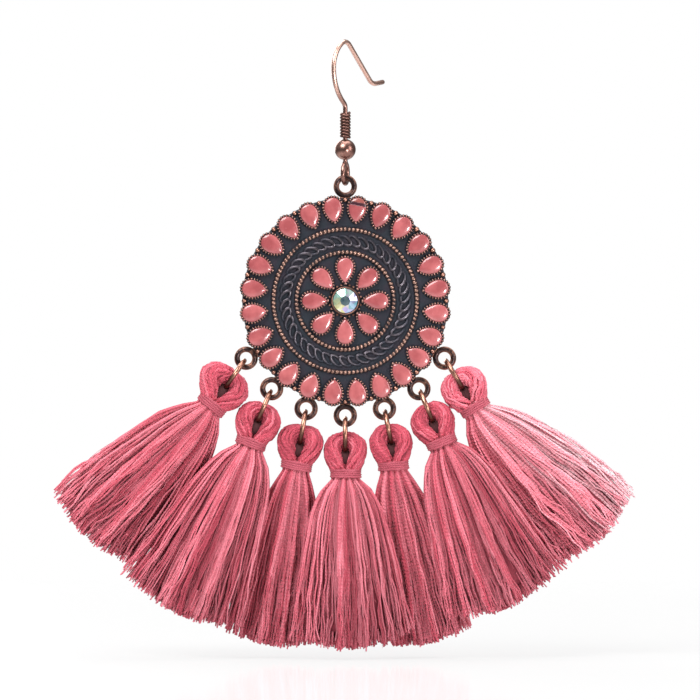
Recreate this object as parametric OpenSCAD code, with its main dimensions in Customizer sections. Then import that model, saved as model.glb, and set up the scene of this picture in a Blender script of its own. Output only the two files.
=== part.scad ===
// Tassel earring. The front faces -Y and +Z is up.
// The origin is the inside of the hook's crown, where it sits in the ear.

/* [Ear hook] */
// Thickness of the hook's wire
hook_wire_d = 0.7; // [0.6:0.02:0.8]
// Turn of the hook's plane out of the front-to-back plane
hook_turn = 40; // [20:1:55]
// Reach of the front bow in front of the stem
bow_reach = 2.65; // [2:0.05:3.2]
// Radius of the bow's upper half
bow_upper_r = 4.6; // [4:0.1:6]
// Radius of the bow's lower half
bow_lower_r = 6.6; // [5:0.1:8]
// Radius of the bend from the bow into the stem
knee_r = 1; // [0.8:0.1:1.5]
// Radius of the crown that sits in the ear
crown_r = 1.3; // [1:0.05:1.7]
// Slope of the back leg below the horizontal
leg_slope = 47; // [35:1:60]
// Straight length of the back leg
leg_len = 6.8; // [4:0.1:10]
// Radius of the flick at the tail
flick_r = 1.6; // [1:0.1:2.5]
// Rise of the tail's end above the horizontal
flick_rise = 10; // [0:1:30]
// Straight length of the tail's end
tail_len = 1.8; // [0.5:0.1:4]
// Bare stem between the bow and the coil
stem_bare = 0.5; // [0.3:0.1:2]
// Radius of the jog from the stem into the bottom loop
jog_r = 0.6; // [0.4:0.1:1]
// Radius of the bottom loop at the middle of its wire
loop_r = 1.5; // [1.4:0.05:2]
// Turn of the loop's plane out of the front-to-back plane
loop_turn = 13; // [0:1:15]
// Open stretch of the loop between its end and its top
loop_open = 24; // [22:1:40]
// Sides of the hook's wire
wire_sides = 10; // [8:2:12]

/* [Coil and bead] */
// Outer diameter of the coil
coil_d = 1.65; // [1.55:0.05:2]
// Length of the coil
coil_len = 4.05; // [3:0.05:6]
// Turns of the coil
coil_turns = 9; // [6:1:12]
// Depth of the grooves between the turns
coil_groove = 0.12; // [0.05:0.01:0.15]
// Diameter of the bead
bead_d = 3.1; // [2.6:0.1:4]
// Running clearance of coil and bead round the stem, on the radius
stem_gap = 0.06; // [0.04:0.01:0.12]
// Gap between stem parts that sit on each other
stack_gap = 0.08; // [0.05:0.01:0.2]

/* [Medallion plate] */
// Radius of the plate between the edge settings
plate_r = 15; // [14.6:0.1:15.2]
// Thickness of the plate
plate_t = 1; // [0.8:0.1:1.6]
// Step that the edge settings stay back from the plate's back
back_step = 0.08; // [0.05:0.01:0.15]

/* [Drop settings] */
// Drop settings round the edge
outer_count = 24; // [24]
// Inset of the edge settings' middle from the plate's edge
outer_inset = 1.5; // [1.3:0.05:1.6]
// Length of an edge enamel drop
outer_len = 3.6; // [3.2:0.05:3.8]
// Width of an edge enamel drop
outer_wid = 2.6; // [2:0.05:2.7]
// How pointed an edge drop is
outer_pull = 0.55; // [0.3:0.05:1]
// Petal settings round the middle
petal_count = 8; // [8]
// Middle of the petals from the medallion's middle
petal_r = 4.5; // [4.4:0.05:4.6]
// Length of a petal of enamel
petal_len = 3.7; // [3:0.05:3.8]
// Width of a petal of enamel
petal_wid = 2.45; // [1.8:0.05:2.6]
// How pointed a petal is
petal_pull = 0.85; // [0.4:0.05:1.1]
// Wall of a setting round its enamel
setting_wall = 0.32; // [0.25:0.01:0.36]
// Height of a setting above the plate
setting_h = 0.75; // [0.5:0.05:1]
// Milled teeth round a setting
tooth_count = 20; // [14:1:24]
// Depth of the milled teeth
tooth_depth = 0.1; // [0.05:0.01:0.14]
// Depth of the enamel cell below the top of its setting
cell_depth = 0.65; // [0.4:0.05:0.8]
// Gap between the enamel and its setting
enamel_gap = 0.03; // [0.02:0.01:0.06]
// Height of the enamel's rounded top
enamel_dome = 0.2; // [0.1:0.02:0.3]

/* [Rings and chain relief] */
// Outer rope ring at the middle of the rope
rope_outer_r = 10.55; // [10.5:0.05:10.6]
// Inner rope ring at the middle of the rope
rope_inner_r = 7.15; // [7.1:0.05:7.3]
// Width of a rope ring
rope_wid = 0.95; // [0.8:0.05:1]
// Height of a rope ring above the plate
rope_h = 0.32; // [0.2:0.02:0.5]
// Height of a strand above its rope
strand_h = 0.2; // [0.1:0.02:0.3]
// Length of one strand round the rope
strand_pitch = 0.82; // [0.75:0.01:1]
// Slant of the strands
strand_slant = 38; // [25:1:45]
// Chain links in the band between the ropes
link_count = 31; // [24:1:32]
// Width of the chain band
link_span = 1.9; // [1.6:0.05:2]
// Thickness of the wire in the chain relief
link_wire = 0.42; // [0.3:0.02:0.45]
// Height of the chain relief
link_h = 0.3; // [0.15:0.05:0.4]

/* [Stone, cup and grains] */
// Diameter of the stone
stone_d = 3.6; // [3:0.1:3.7]
// Diameter of the stone's table
table_d = 1.5; // [1:0.1:2]
// Height of the stone's crown above its girdle
crown_h = 0.6; // [0.4:0.05:0.9]
// Depth of the stone below its girdle
pavilion_h = 0.7; // [0.4:0.05:0.8]
// Gap between the stone and its cup
stone_gap = 0.04; // [0.03:0.01:0.08]
// Wall of the cup
cup_wall = 0.26; // [0.2:0.02:0.28]
// Height of the cup above the plate
cup_h = 0.85; // [0.7:0.05:1]
// Diameter of the grains at the edge
edge_grain_d = 0.7; // [0.5:0.05:0.8]
// Diameter of the grains round the cup
cup_grain_d = 0.45; // [0.3:0.05:0.5]

/* [Eyes and jump rings] */
// Distance from the plate's edge to the middle of an eye
eye_stand = 1.85; // [1.7:0.05:2]
// Hole of an eye
eye_hole_d = 1.8; // [1.7:0.05:1.9]
// Thickness of an eye's ring
eye_wire_d = 0.84; // [0.76:0.02:0.9]
// Outer diameter of a jump ring
jump_d = 5.6; // [5.4:0.1:6]
// Thickness of a jump ring's wire
jump_wire_d = 0.72; // [0.6:0.02:0.74]
// Cut in a jump ring
jump_cut = 0.08; // [0.05:0.01:0.15]
// Gap between links that hang in each other
hang_gap = 0.1; // [0.08:0.01:0.15]

/* [Tassels] */
// Width of a tassel's head
head_wid = 6.3; // [6:0.05:6.4]
// Height of the thread fold above the jump ring
fold_h = 2.6; // [2.4:0.05:2.7]
// Depth of the head, front to back
head_deep = 4.1; // [3.6:0.1:4.4]
// Drop from the fold's inside to the neck
neck_drop = 2.75; // [2.6:0.05:3.2]
// Width of the neck
neck_d = 4; // [3.6:0.1:4.2]
// Length of the neck that is wound
wrap_len = 1.6; // [1.2:0.1:2.2]
// Turns of the winding
wrap_turns = 4; // [3:1:6]
// Thickness of the winding
wrap_t = 0.32; // [0.2:0.02:0.4]
// Gap between the winding and the neck
wrap_gap = 0.05; // [0.03:0.01:0.1]
// Length of a skirt from the middle of the winding
skirt_len = 26.2; // [18:0.2:32]
// Half the width of a front skirt at the hem
hem_half = 9.6; // [7:0.1:10]
// Half the depth of a skirt at the hem
hem_deep = 2.5; // [1.8:0.1:2.8]
// Locks round a skirt
lock_count = 12; // [8:1:14]
// Depth of the grooves between locks at the hem
lock_groove = 0.5; // [0.2:0.05:0.7]
// Unevenness of the locks' ends
hem_rag = 0.5; // [0:0.1:1]
// How far the front skirts lean forward at the hem
front_shift = 1.9; // [1.7:0.1:2.6]
// How far the back skirts lie back at the hem
back_shift = 2.6; // [2.4:0.1:3.2]

/* [Hidden] */
$fn = 48;
thin = 0.02;
hook_r = hook_wire_d / 2;

// The hook's path, as angles from the vertical and heights from the crown
crown_turn = acos((bow_upper_r - bow_reach) / (bow_upper_r - crown_r));
knee_turn = acos(1 - bow_reach / (bow_lower_r + knee_r));
crown_z = hook_r;
bow_top_z = crown_z - crown_r * (1 - sin(crown_turn));
bow_z = bow_top_z - bow_upper_r * sin(crown_turn);
knee_z = bow_z - bow_lower_r * sin(knee_turn);
stem_z = knee_z - knee_r * sin(knee_turn);
leg_x = crown_r * sin(leg_slope);
leg_z = crown_z - crown_r * (1 - cos(leg_slope));
leg_end_x = leg_x + leg_len * cos(leg_slope);
leg_end_z = leg_z - leg_len * sin(leg_slope);
flick_x = leg_end_x + flick_r * sin(leg_slope);
flick_z = leg_end_z + flick_r * cos(leg_slope);

// The parts on the stem, from the top down
coil_z = stem_z - stem_bare;
coil_bottom_z = coil_z - coil_len;
stem_hole_r = hook_r + stem_gap;
bead_seat = sqrt(pow(bead_d / 2, 2) - pow(stem_hole_r, 2));
bead_z = coil_bottom_z - stack_gap - bead_seat;
loop_z = bead_z - bead_d / 2 - stack_gap - hook_r - loop_r;
jog_turn = asin(jog_r / (loop_r + jog_r));
jog_z = loop_z + (loop_r + jog_r) * cos(jog_turn);

// The medallion, hung from the loop by its top eye
eye_wire_r = eye_wire_d / 2;
eye_mid_r = (eye_hole_d + eye_wire_d) / 2;
eye_r = plate_r + eye_stand;
top_bar_z = loop_z - loop_r + hook_r + hang_gap + eye_wire_r;
top_eye_z = top_bar_z - eye_mid_r;
medallion_z = top_eye_z - eye_r;
plate_top = plate_t / 2;
root = 0.1;
setting_top = plate_top + setting_h;
cell_floor = setting_top - cell_depth;
drop_points = 24;
outer_r = plate_r - outer_inset;
strand_share = 0.45;
strand_len = rope_wid * 0.8;
chain_r = (rope_outer_r + rope_inner_r) / 2;
chain_bend = 0.19;
chain_slant = 28;
grain_step = 0.02;
grain_spread = 8;
edge_grain_r = plate_r - edge_grain_d / 2 - grain_step;
cup_r = stone_d / 2 + stone_gap;
cup_grain_r = cup_r + cup_wall + cup_grain_d / 2 + grain_step;
table_sides = 8;
girdle_sides = 16;
girdle_h = 0.1;
stone_z = plate_top + pavilion_h + stone_gap;
flaw_wid = 0.18;
flaw_deep = 0.16;
flaw_turn = 9;
flaw_place = outer_len * 0.22;

// The jump rings
jump_wire_r = jump_wire_d / 2;
jump_mid_r = (jump_d - jump_wire_d) / 2;
jump_cut_turn = 115;
jump_in_r = jump_mid_r - jump_wire_r;
jump_reach = eye_mid_r - eye_wire_r - hang_gap + jump_in_r;
seat_reach = jump_reach + jump_in_r - hang_gap;

// The tassels, left to right. Angles are from straight down, to the right.
col_eye = 0;
col_ring = 1;
col_head = 2;
col_skirt = 3;
col_wide = 4;
col_long = 5;
col_layer = 6;
tassels = [
    [-60, -35, -38, -45, 0.88, 1.02, 1],
    [-40, -23, -18, -22, 0.97, 1.03, -1],
    [-20, -10, -9, -9, 0.74, 1, 1],
    [0, 0, 1, 2, 1, 1, -1],
    [20, 11, 6, 11, 0.74, 1, 1],
    [40, 23, 23, 21, 0.97, 0.99, -1],
    [60, 31, 33, 45, 0.88, 1.02, 1]
];

// Rows of a tassel's fold, from its top to its neck. Place and thickness are shares of the head's sizes.
// Columns: sideways, up (of fold_h above the ring, of neck_drop below), turn, thickness, depth
fold_rows = [
    [0, 0.5, 90, 1, 0.7],
    [0.31, 0.4, 60, 1, 0.82],
    [0.51, 0.14, 25, 1.04, 0.96],
    [0.565, -0.17, -2, 1.03, 1],
    [0.47, -0.52, -20, 1.06, 1],
    [0.33, -0.95, -8, 0.9, 0.92]
];

// Rows of a skirt, from the neck to the hem.
// Columns: share of the length, of the hem's width, of its depth, of the grooves, of the lean,
// of the layer's shift. The first rows are in the neck, and give shares of its width.
skirt_rows = [
    [-0.07, 1, 0.9, 0, 0, 0],
    [0.035, 1, 0.97, 0.1, 0, 0.02],
    [0.07, 0.31, 0.88, 0.3, 0.2, 0.14],
    [0.12, 0.43, 0.94, 0.45, 0.45, 0.34],
    [0.2, 0.55, 0.95, 0.6, 0.7, 0.62],
    [0.32, 0.65, 0.96, 0.7, 0.85, 0.84],
    [0.5, 0.75, 0.97, 0.8, 0.95, 0.95],
    [0.75, 0.88, 0.98, 0.9, 1, 0.98],
    [1, 1, 1, 1, 1, 1]
];
neck_rows = 2;
lock_points = 4;
rag_seed = 7;
wrap_groove = 0.4;

function two_digits(i) = str(i < 10 ? "0" : "", i);
function outer_name(i) = str("enamel_outer_", two_digits(i));
function petal_name(i) = str("enamel_petal_", i);
function jump_name(i) = str("jump_ring_", i);
function tassel_name(i) = str("tassel_", i);
function wrap_name(i) = str("neck_wrap_", i);

// Colours
bright_copper = [0.72, 0.47, 0.37];
dark_copper = [0.36, 0.25, 0.22];
coral = [0.85, 0.4, 0.41];
crystal = [0.72, 0.9, 0.88];
rose = [0.82, 0.38, 0.45];
pale_rose = [0.88, 0.48, 0.55];

// Stations along an arc of the wire: place, heading and the turn of the plane that it lies in
function wire_arc(x, z, r, from, to, steps, turn) =
    [for (i = [0:steps])
        let (a = from + (to - from) * i / steps)
        [x + r * cos(a), z + r * sin(a), a + (to > from ? 90 : -90), turn]];

// The hook's wire from its tail to the end of its loop
function hook_stations() = concat(
    [[flick_x + flick_r * sin(flick_rise) + tail_len * cos(flick_rise),
        flick_z - flick_r * cos(flick_rise) + tail_len * sin(flick_rise), 180 + flick_rise, hook_turn]],
    wire_arc(flick_x, flick_z, flick_r, 270 + flick_rise, 270 - leg_slope, 6, hook_turn),
    wire_arc(0, crown_z - crown_r, crown_r, 90 - leg_slope, 180 - crown_turn, 8, hook_turn),
    rest(wire_arc(bow_upper_r - bow_reach, bow_z, bow_upper_r, 180 - crown_turn, 180, 6, hook_turn)),
    rest(wire_arc(bow_lower_r - bow_reach, bow_z, bow_lower_r, 180, 180 + knee_turn, 6, hook_turn)),
    rest(wire_arc(-knee_r, stem_z, knee_r, knee_turn, 0, 4, hook_turn)),
    wire_arc(jog_r, jog_z, jog_r, 180, 270 - jog_turn, 4, loop_turn),
    rest(wire_arc(0, loop_z, loop_r, 90 - jog_turn, loop_open - 270, 20, loop_turn))
);
function rest(list) = [for (i = [1:len(list) - 1]) list[i]];

// A point on the wire's skin at a station
function wire_point(station, a) =
    let (
        along = [sin(station[3]), cos(station[3]), 0],
        across = [cos(station[3]), -sin(station[3]), 0],
        way = cos(station[2]) * along + [0, 0, sin(station[2])]
    )
    station[0] * along + [0, 0, station[1]] + hook_r * (cos(a) * across + sin(a) * cross(across, way));

// A closed skin over rings of points, with a point in the middle of each end
function skin_faces(rings, ring) = concat(
    [for (k = [0:rings - 2]) for (i = [0:ring - 1])
        let (j = (i + 1) % ring, a = k * ring, b = a + ring)
        each [[a + i, a + j, b + j], [a + i, b + j, b + i]]],
    [for (i = [0:ring - 1]) [rings * ring, (i + 1) % ring, i]],
    [for (i = [0:ring - 1]) [rings * ring + 1, (rings - 1) * ring + i, (rings - 1) * ring + (i + 1) % ring]]
);

// A drop's outline with its point at -Y, grown outwards by grow, with teeth milled into it
function drop_shape(t, pull) = sin(t) * (0.08 + 0.92 * pow(abs(sin(t / 2)), pull));
function drop_widest(pull) = max([for (t = [60:2:130]) drop_shape(t, pull)]);
function drop_at(t, long, wide, pull) =
    [wide / 2 * drop_shape(t, pull) / drop_widest(pull), -long / 2 * cos(t)];
function drop_out(t, long, wide, pull) =
    let (way = drop_at(t + 3, long, wide, pull) - drop_at(t - 3, long, wide, pull))
    [way.y, -way.x] / norm(way);
function drop_outline(long, wide, pull, grow, points, teeth) =
    [for (i = [0:points - 1])
        let (t = 360 * (i + 0.5) / points)
        drop_at(t, long, wide, pull)
            + drop_out(t, long, wide, pull) * (grow - (i % 2) * teeth)];

// A drop prism from the height low to the height high
module drop_prism(long, wide, pull, grow, points, teeth, low, high) {
    translate([0, 0, low])
        linear_extrude(high - low)
            polygon(drop_outline(long, wide, pull, grow, points, teeth));
}

module setting_body(long, wide, pull, low) {
    drop_prism(long, wide, pull, setting_wall, 2 * tooth_count, tooth_depth, low, setting_top);
}

module setting_cell(long, wide, pull) {
    drop_prism(long, wide, pull, 0, drop_points, 0, cell_floor, setting_top + 1);
}

// Enamel with a rounded top that fills a cell
module enamel(long, wide, pull) {
    ball_r = (pow(long / 2, 2) + pow(enamel_dome, 2)) / (2 * enamel_dome);
    top = setting_top + enamel_dome / 2;
    intersection() {
        drop_prism(long - 3 * enamel_gap, wide - 2 * enamel_gap, pull, 0, drop_points, 0,
            cell_floor + enamel_gap, top + 1);
        translate([0, 0, top - ball_r])
            sphere(ball_r);
    }
}

// Place in the medallion's own plane: round it by turn from the top clockwise, out by r
module around(turn, r) {
    rotate(-turn)
        translate([0, r, 0])
            children();
}

module at_medallion() {
    translate([0, 0, medallion_z])
        rotate([90, 0, 0])
            children();
}

function outer_turn(i) = (i - 0.5) * 360 / outer_count;
function petal_turn(i) = (i - 1) * 360 / petal_count;

// A rope ring: a low band with slanted strands on it
module rope_ring(r) {
    strands = round(2 * PI * r / strand_pitch);
    translate([0, 0, plate_top - root])
        difference() {
            cylinder(h = rope_h + root, r = r + rope_wid / 2);
            translate([0, 0, -1])
                cylinder(h = rope_h + 3, r = r - rope_wid / 2);
        }
    for (i = [1:strands])
        around(i * 360 / strands, r)
            rotate(strand_slant)
                translate([0, 0, plate_top + rope_h])
                    cube([strand_pitch * strand_share, strand_len, 2 * strand_h], center = true);
}

// One strand of the chain: a bent bar that runs from one side of the band to the other
function strand_edge(side) =
    [for (i = [-1.5:1.5])
        let (y = side * i * link_span / 3.4)
        [link_span * chain_bend * sin(180 * y / link_span) + side * link_wire / 2, y]];

module chain_strand() {
    translate([0, 0, plate_top - root])
        linear_extrude(link_h + root)
            polygon(concat(strand_edge(-1), strand_edge(1)));
}

module chain_band() {
    for (i = [1:2 * link_count])
        around(i * 180 / link_count, chain_r)
            rotate(-chain_slant)
                chain_strand();
}

module eye_ring() {
    rotate_extrude()
        translate([eye_mid_r, 0])
            circle(eye_wire_r);
}

// The neck of an eye, from the plate's edge to the ring
module eye_neck() {
    neck_len = eye_r - eye_mid_r - plate_r + eye_wire_r;
    translate([0, -eye_mid_r - neck_len / 2, 0])
        cube([eye_wire_d * 1.5, neck_len, eye_wire_d * 0.8], center = true);
}

module cup() {
    translate([0, 0, plate_top - root])
        cylinder(h = cup_h + root, r = cup_r + cup_wall);
}

// Two grains in each gap between the petals, and one at the edge in each gap between the drops
module grains() {
    for (i = [1:petal_count])
        for (side = [-1, 1])
            around(petal_turn(i + 0.5) + side * grain_spread, cup_grain_r)
                translate([0, 0, plate_top + cup_grain_d * 0.2])
                    sphere(d = cup_grain_d);
    for (i = [1:outer_count])
        around(outer_turn(i + 0.5), edge_grain_r)
            translate([0, 0, plate_top])
                sphere(d = edge_grain_d);
}

module medallion() {
    color(dark_copper)
        at_medallion()
            difference() {
                union() {
                    cylinder(h = plate_t, r = plate_r, center = true);
                    for (i = [1:outer_count])
                        around(outer_turn(i), outer_r)
                            setting_body(outer_len, outer_wid, outer_pull, back_step - plate_top);
                    for (i = [1:petal_count])
                        around(petal_turn(i), petal_r)
                            setting_body(petal_len, petal_wid, petal_pull, plate_top - root);
                    rope_ring(rope_outer_r);
                    rope_ring(rope_inner_r);
                    chain_band();
                    cup();
                    grains();
                    for (turn = concat([0], [for (t = tassels) 180 - t[col_eye]]))
                        around(turn, eye_r) {
                            eye_ring();
                            eye_neck();
                        }
                }
                for (i = [1:outer_count])
                    around(outer_turn(i), outer_r)
                        setting_cell(outer_len, outer_wid, outer_pull);
                for (i = [1:petal_count])
                    around(petal_turn(i), petal_r)
                        setting_cell(petal_len, petal_wid, petal_pull);
                translate([0, 0, plate_top])
                    cylinder(h = cup_h + 1, r = cup_r);
            }
}

module enamel_outer(i) {
    color(coral)
        at_medallion()
            around(outer_turn(i), outer_r)
                difference() {
                    enamel(outer_len, outer_wid, outer_pull);
                    if (i == 1)
                        translate([0, flaw_place, setting_top + enamel_dome / 2])
                            rotate(-flaw_turn)
                                cube([outer_wid * 1.5, flaw_wid, 2 * flaw_deep], center = true);
                }
}

module enamel_petal(i) {
    color(coral)
        at_medallion()
            around(petal_turn(i), petal_r)
                enamel(petal_len, petal_wid, petal_pull);
}

// A cut stone: an eight-sided table, a girdle of sixteen sides and a cut-off point
module center_stone() {
    color(crystal)
        at_medallion()
            translate([0, 0, stone_z])
                hull() {
                    translate([0, 0, crown_h - thin])
                        cylinder(h = thin, d = table_d, $fn = table_sides);
                    rotate(180 / girdle_sides)
                        cylinder(h = girdle_h, d = stone_d, $fn = girdle_sides);
                    translate([0, 0, -pavilion_h])
                        cylinder(h = thin, d = table_d, $fn = table_sides);
                }
}

module ear_hook() {
    stations = hook_stations();
    rings = len(stations);
    color(bright_copper)
        polyhedron(
            concat(
                [for (station = stations) for (i = [0:wire_sides - 1])
                    wire_point(station, 360 * i / wire_sides)],
                [for (station = [stations[0], stations[rings - 1]])
                    (wire_point(station, 0) + wire_point(station, 180)) / 2]
            ),
            skin_faces(rings, wire_sides)
        );
}

// One rib of a winding, as points of its profile: radius, then height
function rib(i, pitch, r, groove) =
    [[r - groove, i * pitch], [r, (i + 0.3) * pitch], [r, (i + 0.7) * pitch]];

// A wound coil round the stem, as one ribbed tube
module hook_coil() {
    color(bright_copper)
        translate([0, 0, coil_bottom_z])
            rotate_extrude()
                polygon(concat(
                    [[stem_hole_r, 0]],
                    [for (i = [0:coil_turns - 1])
                        each rib(i, coil_len / coil_turns, coil_d / 2, coil_groove)],
                    [[coil_d / 2 - coil_groove, coil_len], [stem_hole_r, coil_len]]
                ));
}

module hook_bead() {
    color(bright_copper)
        translate([0, 0, bead_z])
            difference() {
                sphere(d = bead_d);
                cylinder(h = 2 * bead_d, r = stem_hole_r, center = true);
            }
}

// Place at a tassel's eye, with -Z along the angle turn from straight down
module at_eye(t, turn) {
    translate([eye_r * sin(t[col_eye]), 0, medallion_z - eye_r * cos(t[col_eye])])
        rotate([0, -turn, 0])
            children();
}

// Place at the inside of a tassel's fold, with -Z along the head
module at_fold(t) {
    at_eye(t, t[col_ring])
        translate([0, 0, -seat_reach])
            rotate([0, t[col_ring] - t[col_head], 0])
                children();
}

module jump_ring(t) {
    cut = asin(jump_cut / jump_mid_r);
    color(bright_copper)
        at_eye(t, t[col_ring])
            translate([0, 0, -jump_reach])
                rotate([0, 90, 0])
                    rotate(jump_cut_turn)
                        rotate_extrude(angle = 360 - cut)
                            translate([jump_mid_r, 0])
                                circle(jump_wire_r);
}

// One cross-section of the folded thread, as a thin disc on the side given
module fold_disc(row, side) {
    up = row[1] > 0 ? row[1] * fold_h : row[1] * neck_drop;
    translate([side * row[0] * head_wid / 2, 0, up])
        rotate([0, side * row[2], 0])
            linear_extrude(thin, center = true)
                polygon([for (a = [15:30:345])
                    [row[3] * fold_h / 2 * cos(a), row[4] * head_deep / 2 * sin(a)]]);
}

module fold() {
    for (side = [-1, 1])
        for (i = [0:len(fold_rows) - 2])
            hull() {
                fold_disc(fold_rows[i], side);
                fold_disc(fold_rows[i + 1], side);
            }
}

// A point of a skirt: row of the table, step round the skirt, and the tassel
function skirt_point(t, row, i, rag) =
    let (
        around_deg = 360 * i / (lock_count * lock_points),
        shape = skirt_rows[row],
        long = skirt_len * t[col_long],
        half = row < neck_rows ? neck_d / 2 : hem_half * t[col_wide],
        deep = row < neck_rows ? neck_d / 2 : hem_deep,
        crest = 0.5 - 0.5 * cos(around_deg * lock_count),
        groove = lock_groove * shape[3] * (1 - crest),
        x = (max(half * shape[1], neck_d / 2) - groove) * cos(around_deg),
        y = (deep * shape[2] - groove) * sin(around_deg),
        rise = long - sqrt(long * long - x * x * shape[0] * shape[0]),
        lock = floor((i + lock_points / 2) / lock_points) % lock_count,
        down = shape[0] * (long + rag[lock]) - rise,
        lean = (t[col_skirt] - t[col_head]) * shape[4],
        shift = shape[5] * (t[col_layer] > 0 ? back_shift : -front_shift)
    )
    [x * cos(lean) + down * sin(lean), y + shift, x * sin(lean) - down * cos(lean)];

module skirt(t) {
    ring = lock_count * lock_points;
    rows = len(skirt_rows);
    rag = rands(-hem_rag, hem_rag, lock_count, rag_seed + t[col_eye]);
    polyhedron(
        concat(
            [for (row = [0:rows - 1]) for (i = [0:ring - 1]) skirt_point(t, row, i, rag)],
            [skirt_middle(t, 0), skirt_middle(t, rows - 1)]
        ),
        skin_faces(rows, ring)
    );
}
function skirt_middle(t, row) =
    let (
        shape = skirt_rows[row],
        down = shape[0] * skirt_len * t[col_long],
        lean = (t[col_skirt] - t[col_head]) * shape[4],
        shift = shape[5] * (t[col_layer] > 0 ? back_shift : -front_shift)
    )
    [down * sin(lean), shift, -down * cos(lean)];

module tassel(i) {
    t = tassels[i - 1];
    color(t[col_layer] > 0 ? rose : pale_rose)
        at_fold(t)
            union() {
                fold();
                translate([0, 0, -neck_drop - wrap_len / 2])
                    skirt(t);
            }
}

// The winding round a tassel's neck, as one ribbed band
module neck_wrap(i) {
    inner_r = neck_d / 2 + wrap_gap;
    groove = wrap_t * wrap_groove;
    color(rose)
        at_fold(tassels[i - 1])
            translate([0, 0, -neck_drop - wrap_len])
                rotate_extrude()
                    polygon(concat(
                        [[inner_r, 0]],
                        [for (k = [0:wrap_turns - 1])
                            each rib(k, wrap_len / wrap_turns, inner_r + wrap_t, groove)],
                        [[inner_r + wrap_t - groove, wrap_len], [inner_r, wrap_len]]
                    ));
}

ear_hook();
hook_coil();
hook_bead();
medallion();
center_stone();
for (i = [1:outer_count]) enamel_outer(i);
for (i = [1:petal_count]) enamel_petal(i);
for (i = [1:len(tassels)]) jump_ring(tassels[i - 1]);
for (i = [1:len(tassels)]) tassel(i);
for (i = [1:len(tassels)]) neck_wrap(i);
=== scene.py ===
import math
import random

import bmesh
import bpy
from mathutils import Matrix, Vector


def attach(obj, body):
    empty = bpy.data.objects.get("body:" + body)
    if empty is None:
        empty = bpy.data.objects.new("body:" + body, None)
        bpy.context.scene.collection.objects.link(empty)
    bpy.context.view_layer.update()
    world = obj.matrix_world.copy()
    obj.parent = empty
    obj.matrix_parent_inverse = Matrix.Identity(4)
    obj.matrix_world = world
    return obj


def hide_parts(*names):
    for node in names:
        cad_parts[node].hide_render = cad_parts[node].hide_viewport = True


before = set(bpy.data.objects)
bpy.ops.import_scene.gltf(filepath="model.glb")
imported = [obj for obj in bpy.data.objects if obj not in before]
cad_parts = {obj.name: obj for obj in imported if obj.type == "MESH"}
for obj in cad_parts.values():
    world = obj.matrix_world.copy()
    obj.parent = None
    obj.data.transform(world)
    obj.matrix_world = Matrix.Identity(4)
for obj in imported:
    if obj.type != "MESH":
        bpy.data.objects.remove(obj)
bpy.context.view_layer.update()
print("frame loaded")

mm = 0.001
fullTurn = 2 * math.pi
scene = bpy.context.scene


def colour(red, green, blue):
    # a screen colour, 0 to 255, as a linear one
    def toLinear(value):
        value /= 255
        return value / 12.92 if value <= 0.04045 else ((value + 0.055) / 1.055) ** 2.4
    return (toLinear(red), toLinear(green), toLinear(blue), 1.0)


def putObject(name, mesh):
    piece = bpy.data.objects.new(name, mesh)
    scene.collection.objects.link(piece)
    return piece


def meshFrom(name, points, faces):
    mesh = bpy.data.meshes.new(name)
    mesh.from_pydata([tuple(point) for point in points], [], faces)
    form = bmesh.new()
    form.from_mesh(mesh)
    bmesh.ops.remove_doubles(form, verts=form.verts, dist=1e-7)
    bmesh.ops.recalc_face_normals(form, faces=form.faces)
    form.to_mesh(mesh)
    form.free()
    mesh.polygons.foreach_set("use_smooth", [True] * len(mesh.polygons))
    mesh.update()
    return mesh


def joinMeshes(name, meshes):
    form = bmesh.new()
    for mesh in meshes:
        form.from_mesh(mesh)
    joined = bpy.data.meshes.new(name)
    form.to_mesh(joined)
    form.free()
    return joined


def circle(count, radius, height=0.0):
    turns = [fullTurn * i / count for i in range(count)]
    return [Vector((radius * math.cos(turn), radius * math.sin(turn), height)) for turn in turns]


def ringFaces(rings, sides, closedPath=False):
    faces = []
    for ring in range(rings if closedPath else rings - 1):
        after = (ring + 1) % rings
        for side in range(sides):
            beside = (side + 1) % sides
            faces.append((ring * sides + side, ring * sides + beside, after * sides + beside, after * sides + side))
    return faces


def capped(points, faces, rings, sides):
    # a middle point closes each end
    for ring in (0, rings - 1):
        loop = points[ring * sides:(ring + 1) * sides]
        points.append(sum(loop, Vector()) / sides)
        for side in range(sides):
            faces.append((len(points) - 1, ring * sides + side, ring * sides + (side + 1) % sides))
    return points, faces


def sweepTube(name, path, radii, sides, closedPath=False):
    # a round wire along a path
    count = len(path)
    points = []
    across = None
    for i, place in enumerate(path):
        before = path[i - 1] if i or closedPath else place
        after = path[(i + 1) % count] if i < count - 1 or closedPath else place
        way = (after - before).normalized()
        if across is None:
            across = way.orthogonal().normalized()
        across = (across - way * across.dot(way)).normalized()
        other = way.cross(across)
        radius = radii[i] if isinstance(radii, list) else radii
        points += [place + across * spot.x + other * spot.y for spot in circle(sides, radius)]
    faces = ringFaces(count, sides, closedPath)
    if not closedPath:
        points, faces = capped(points, faces, count, sides)
    return meshFrom(name, points, faces)


def latheMesh(name, profile, sides):
    # profile holds (radius, height) in mm, in their order along the surface
    points = [point for radius, height in profile for point in circle(sides, radius * mm, height * mm)]
    return meshFrom(name, points, ringFaces(len(profile), sides))


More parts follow.
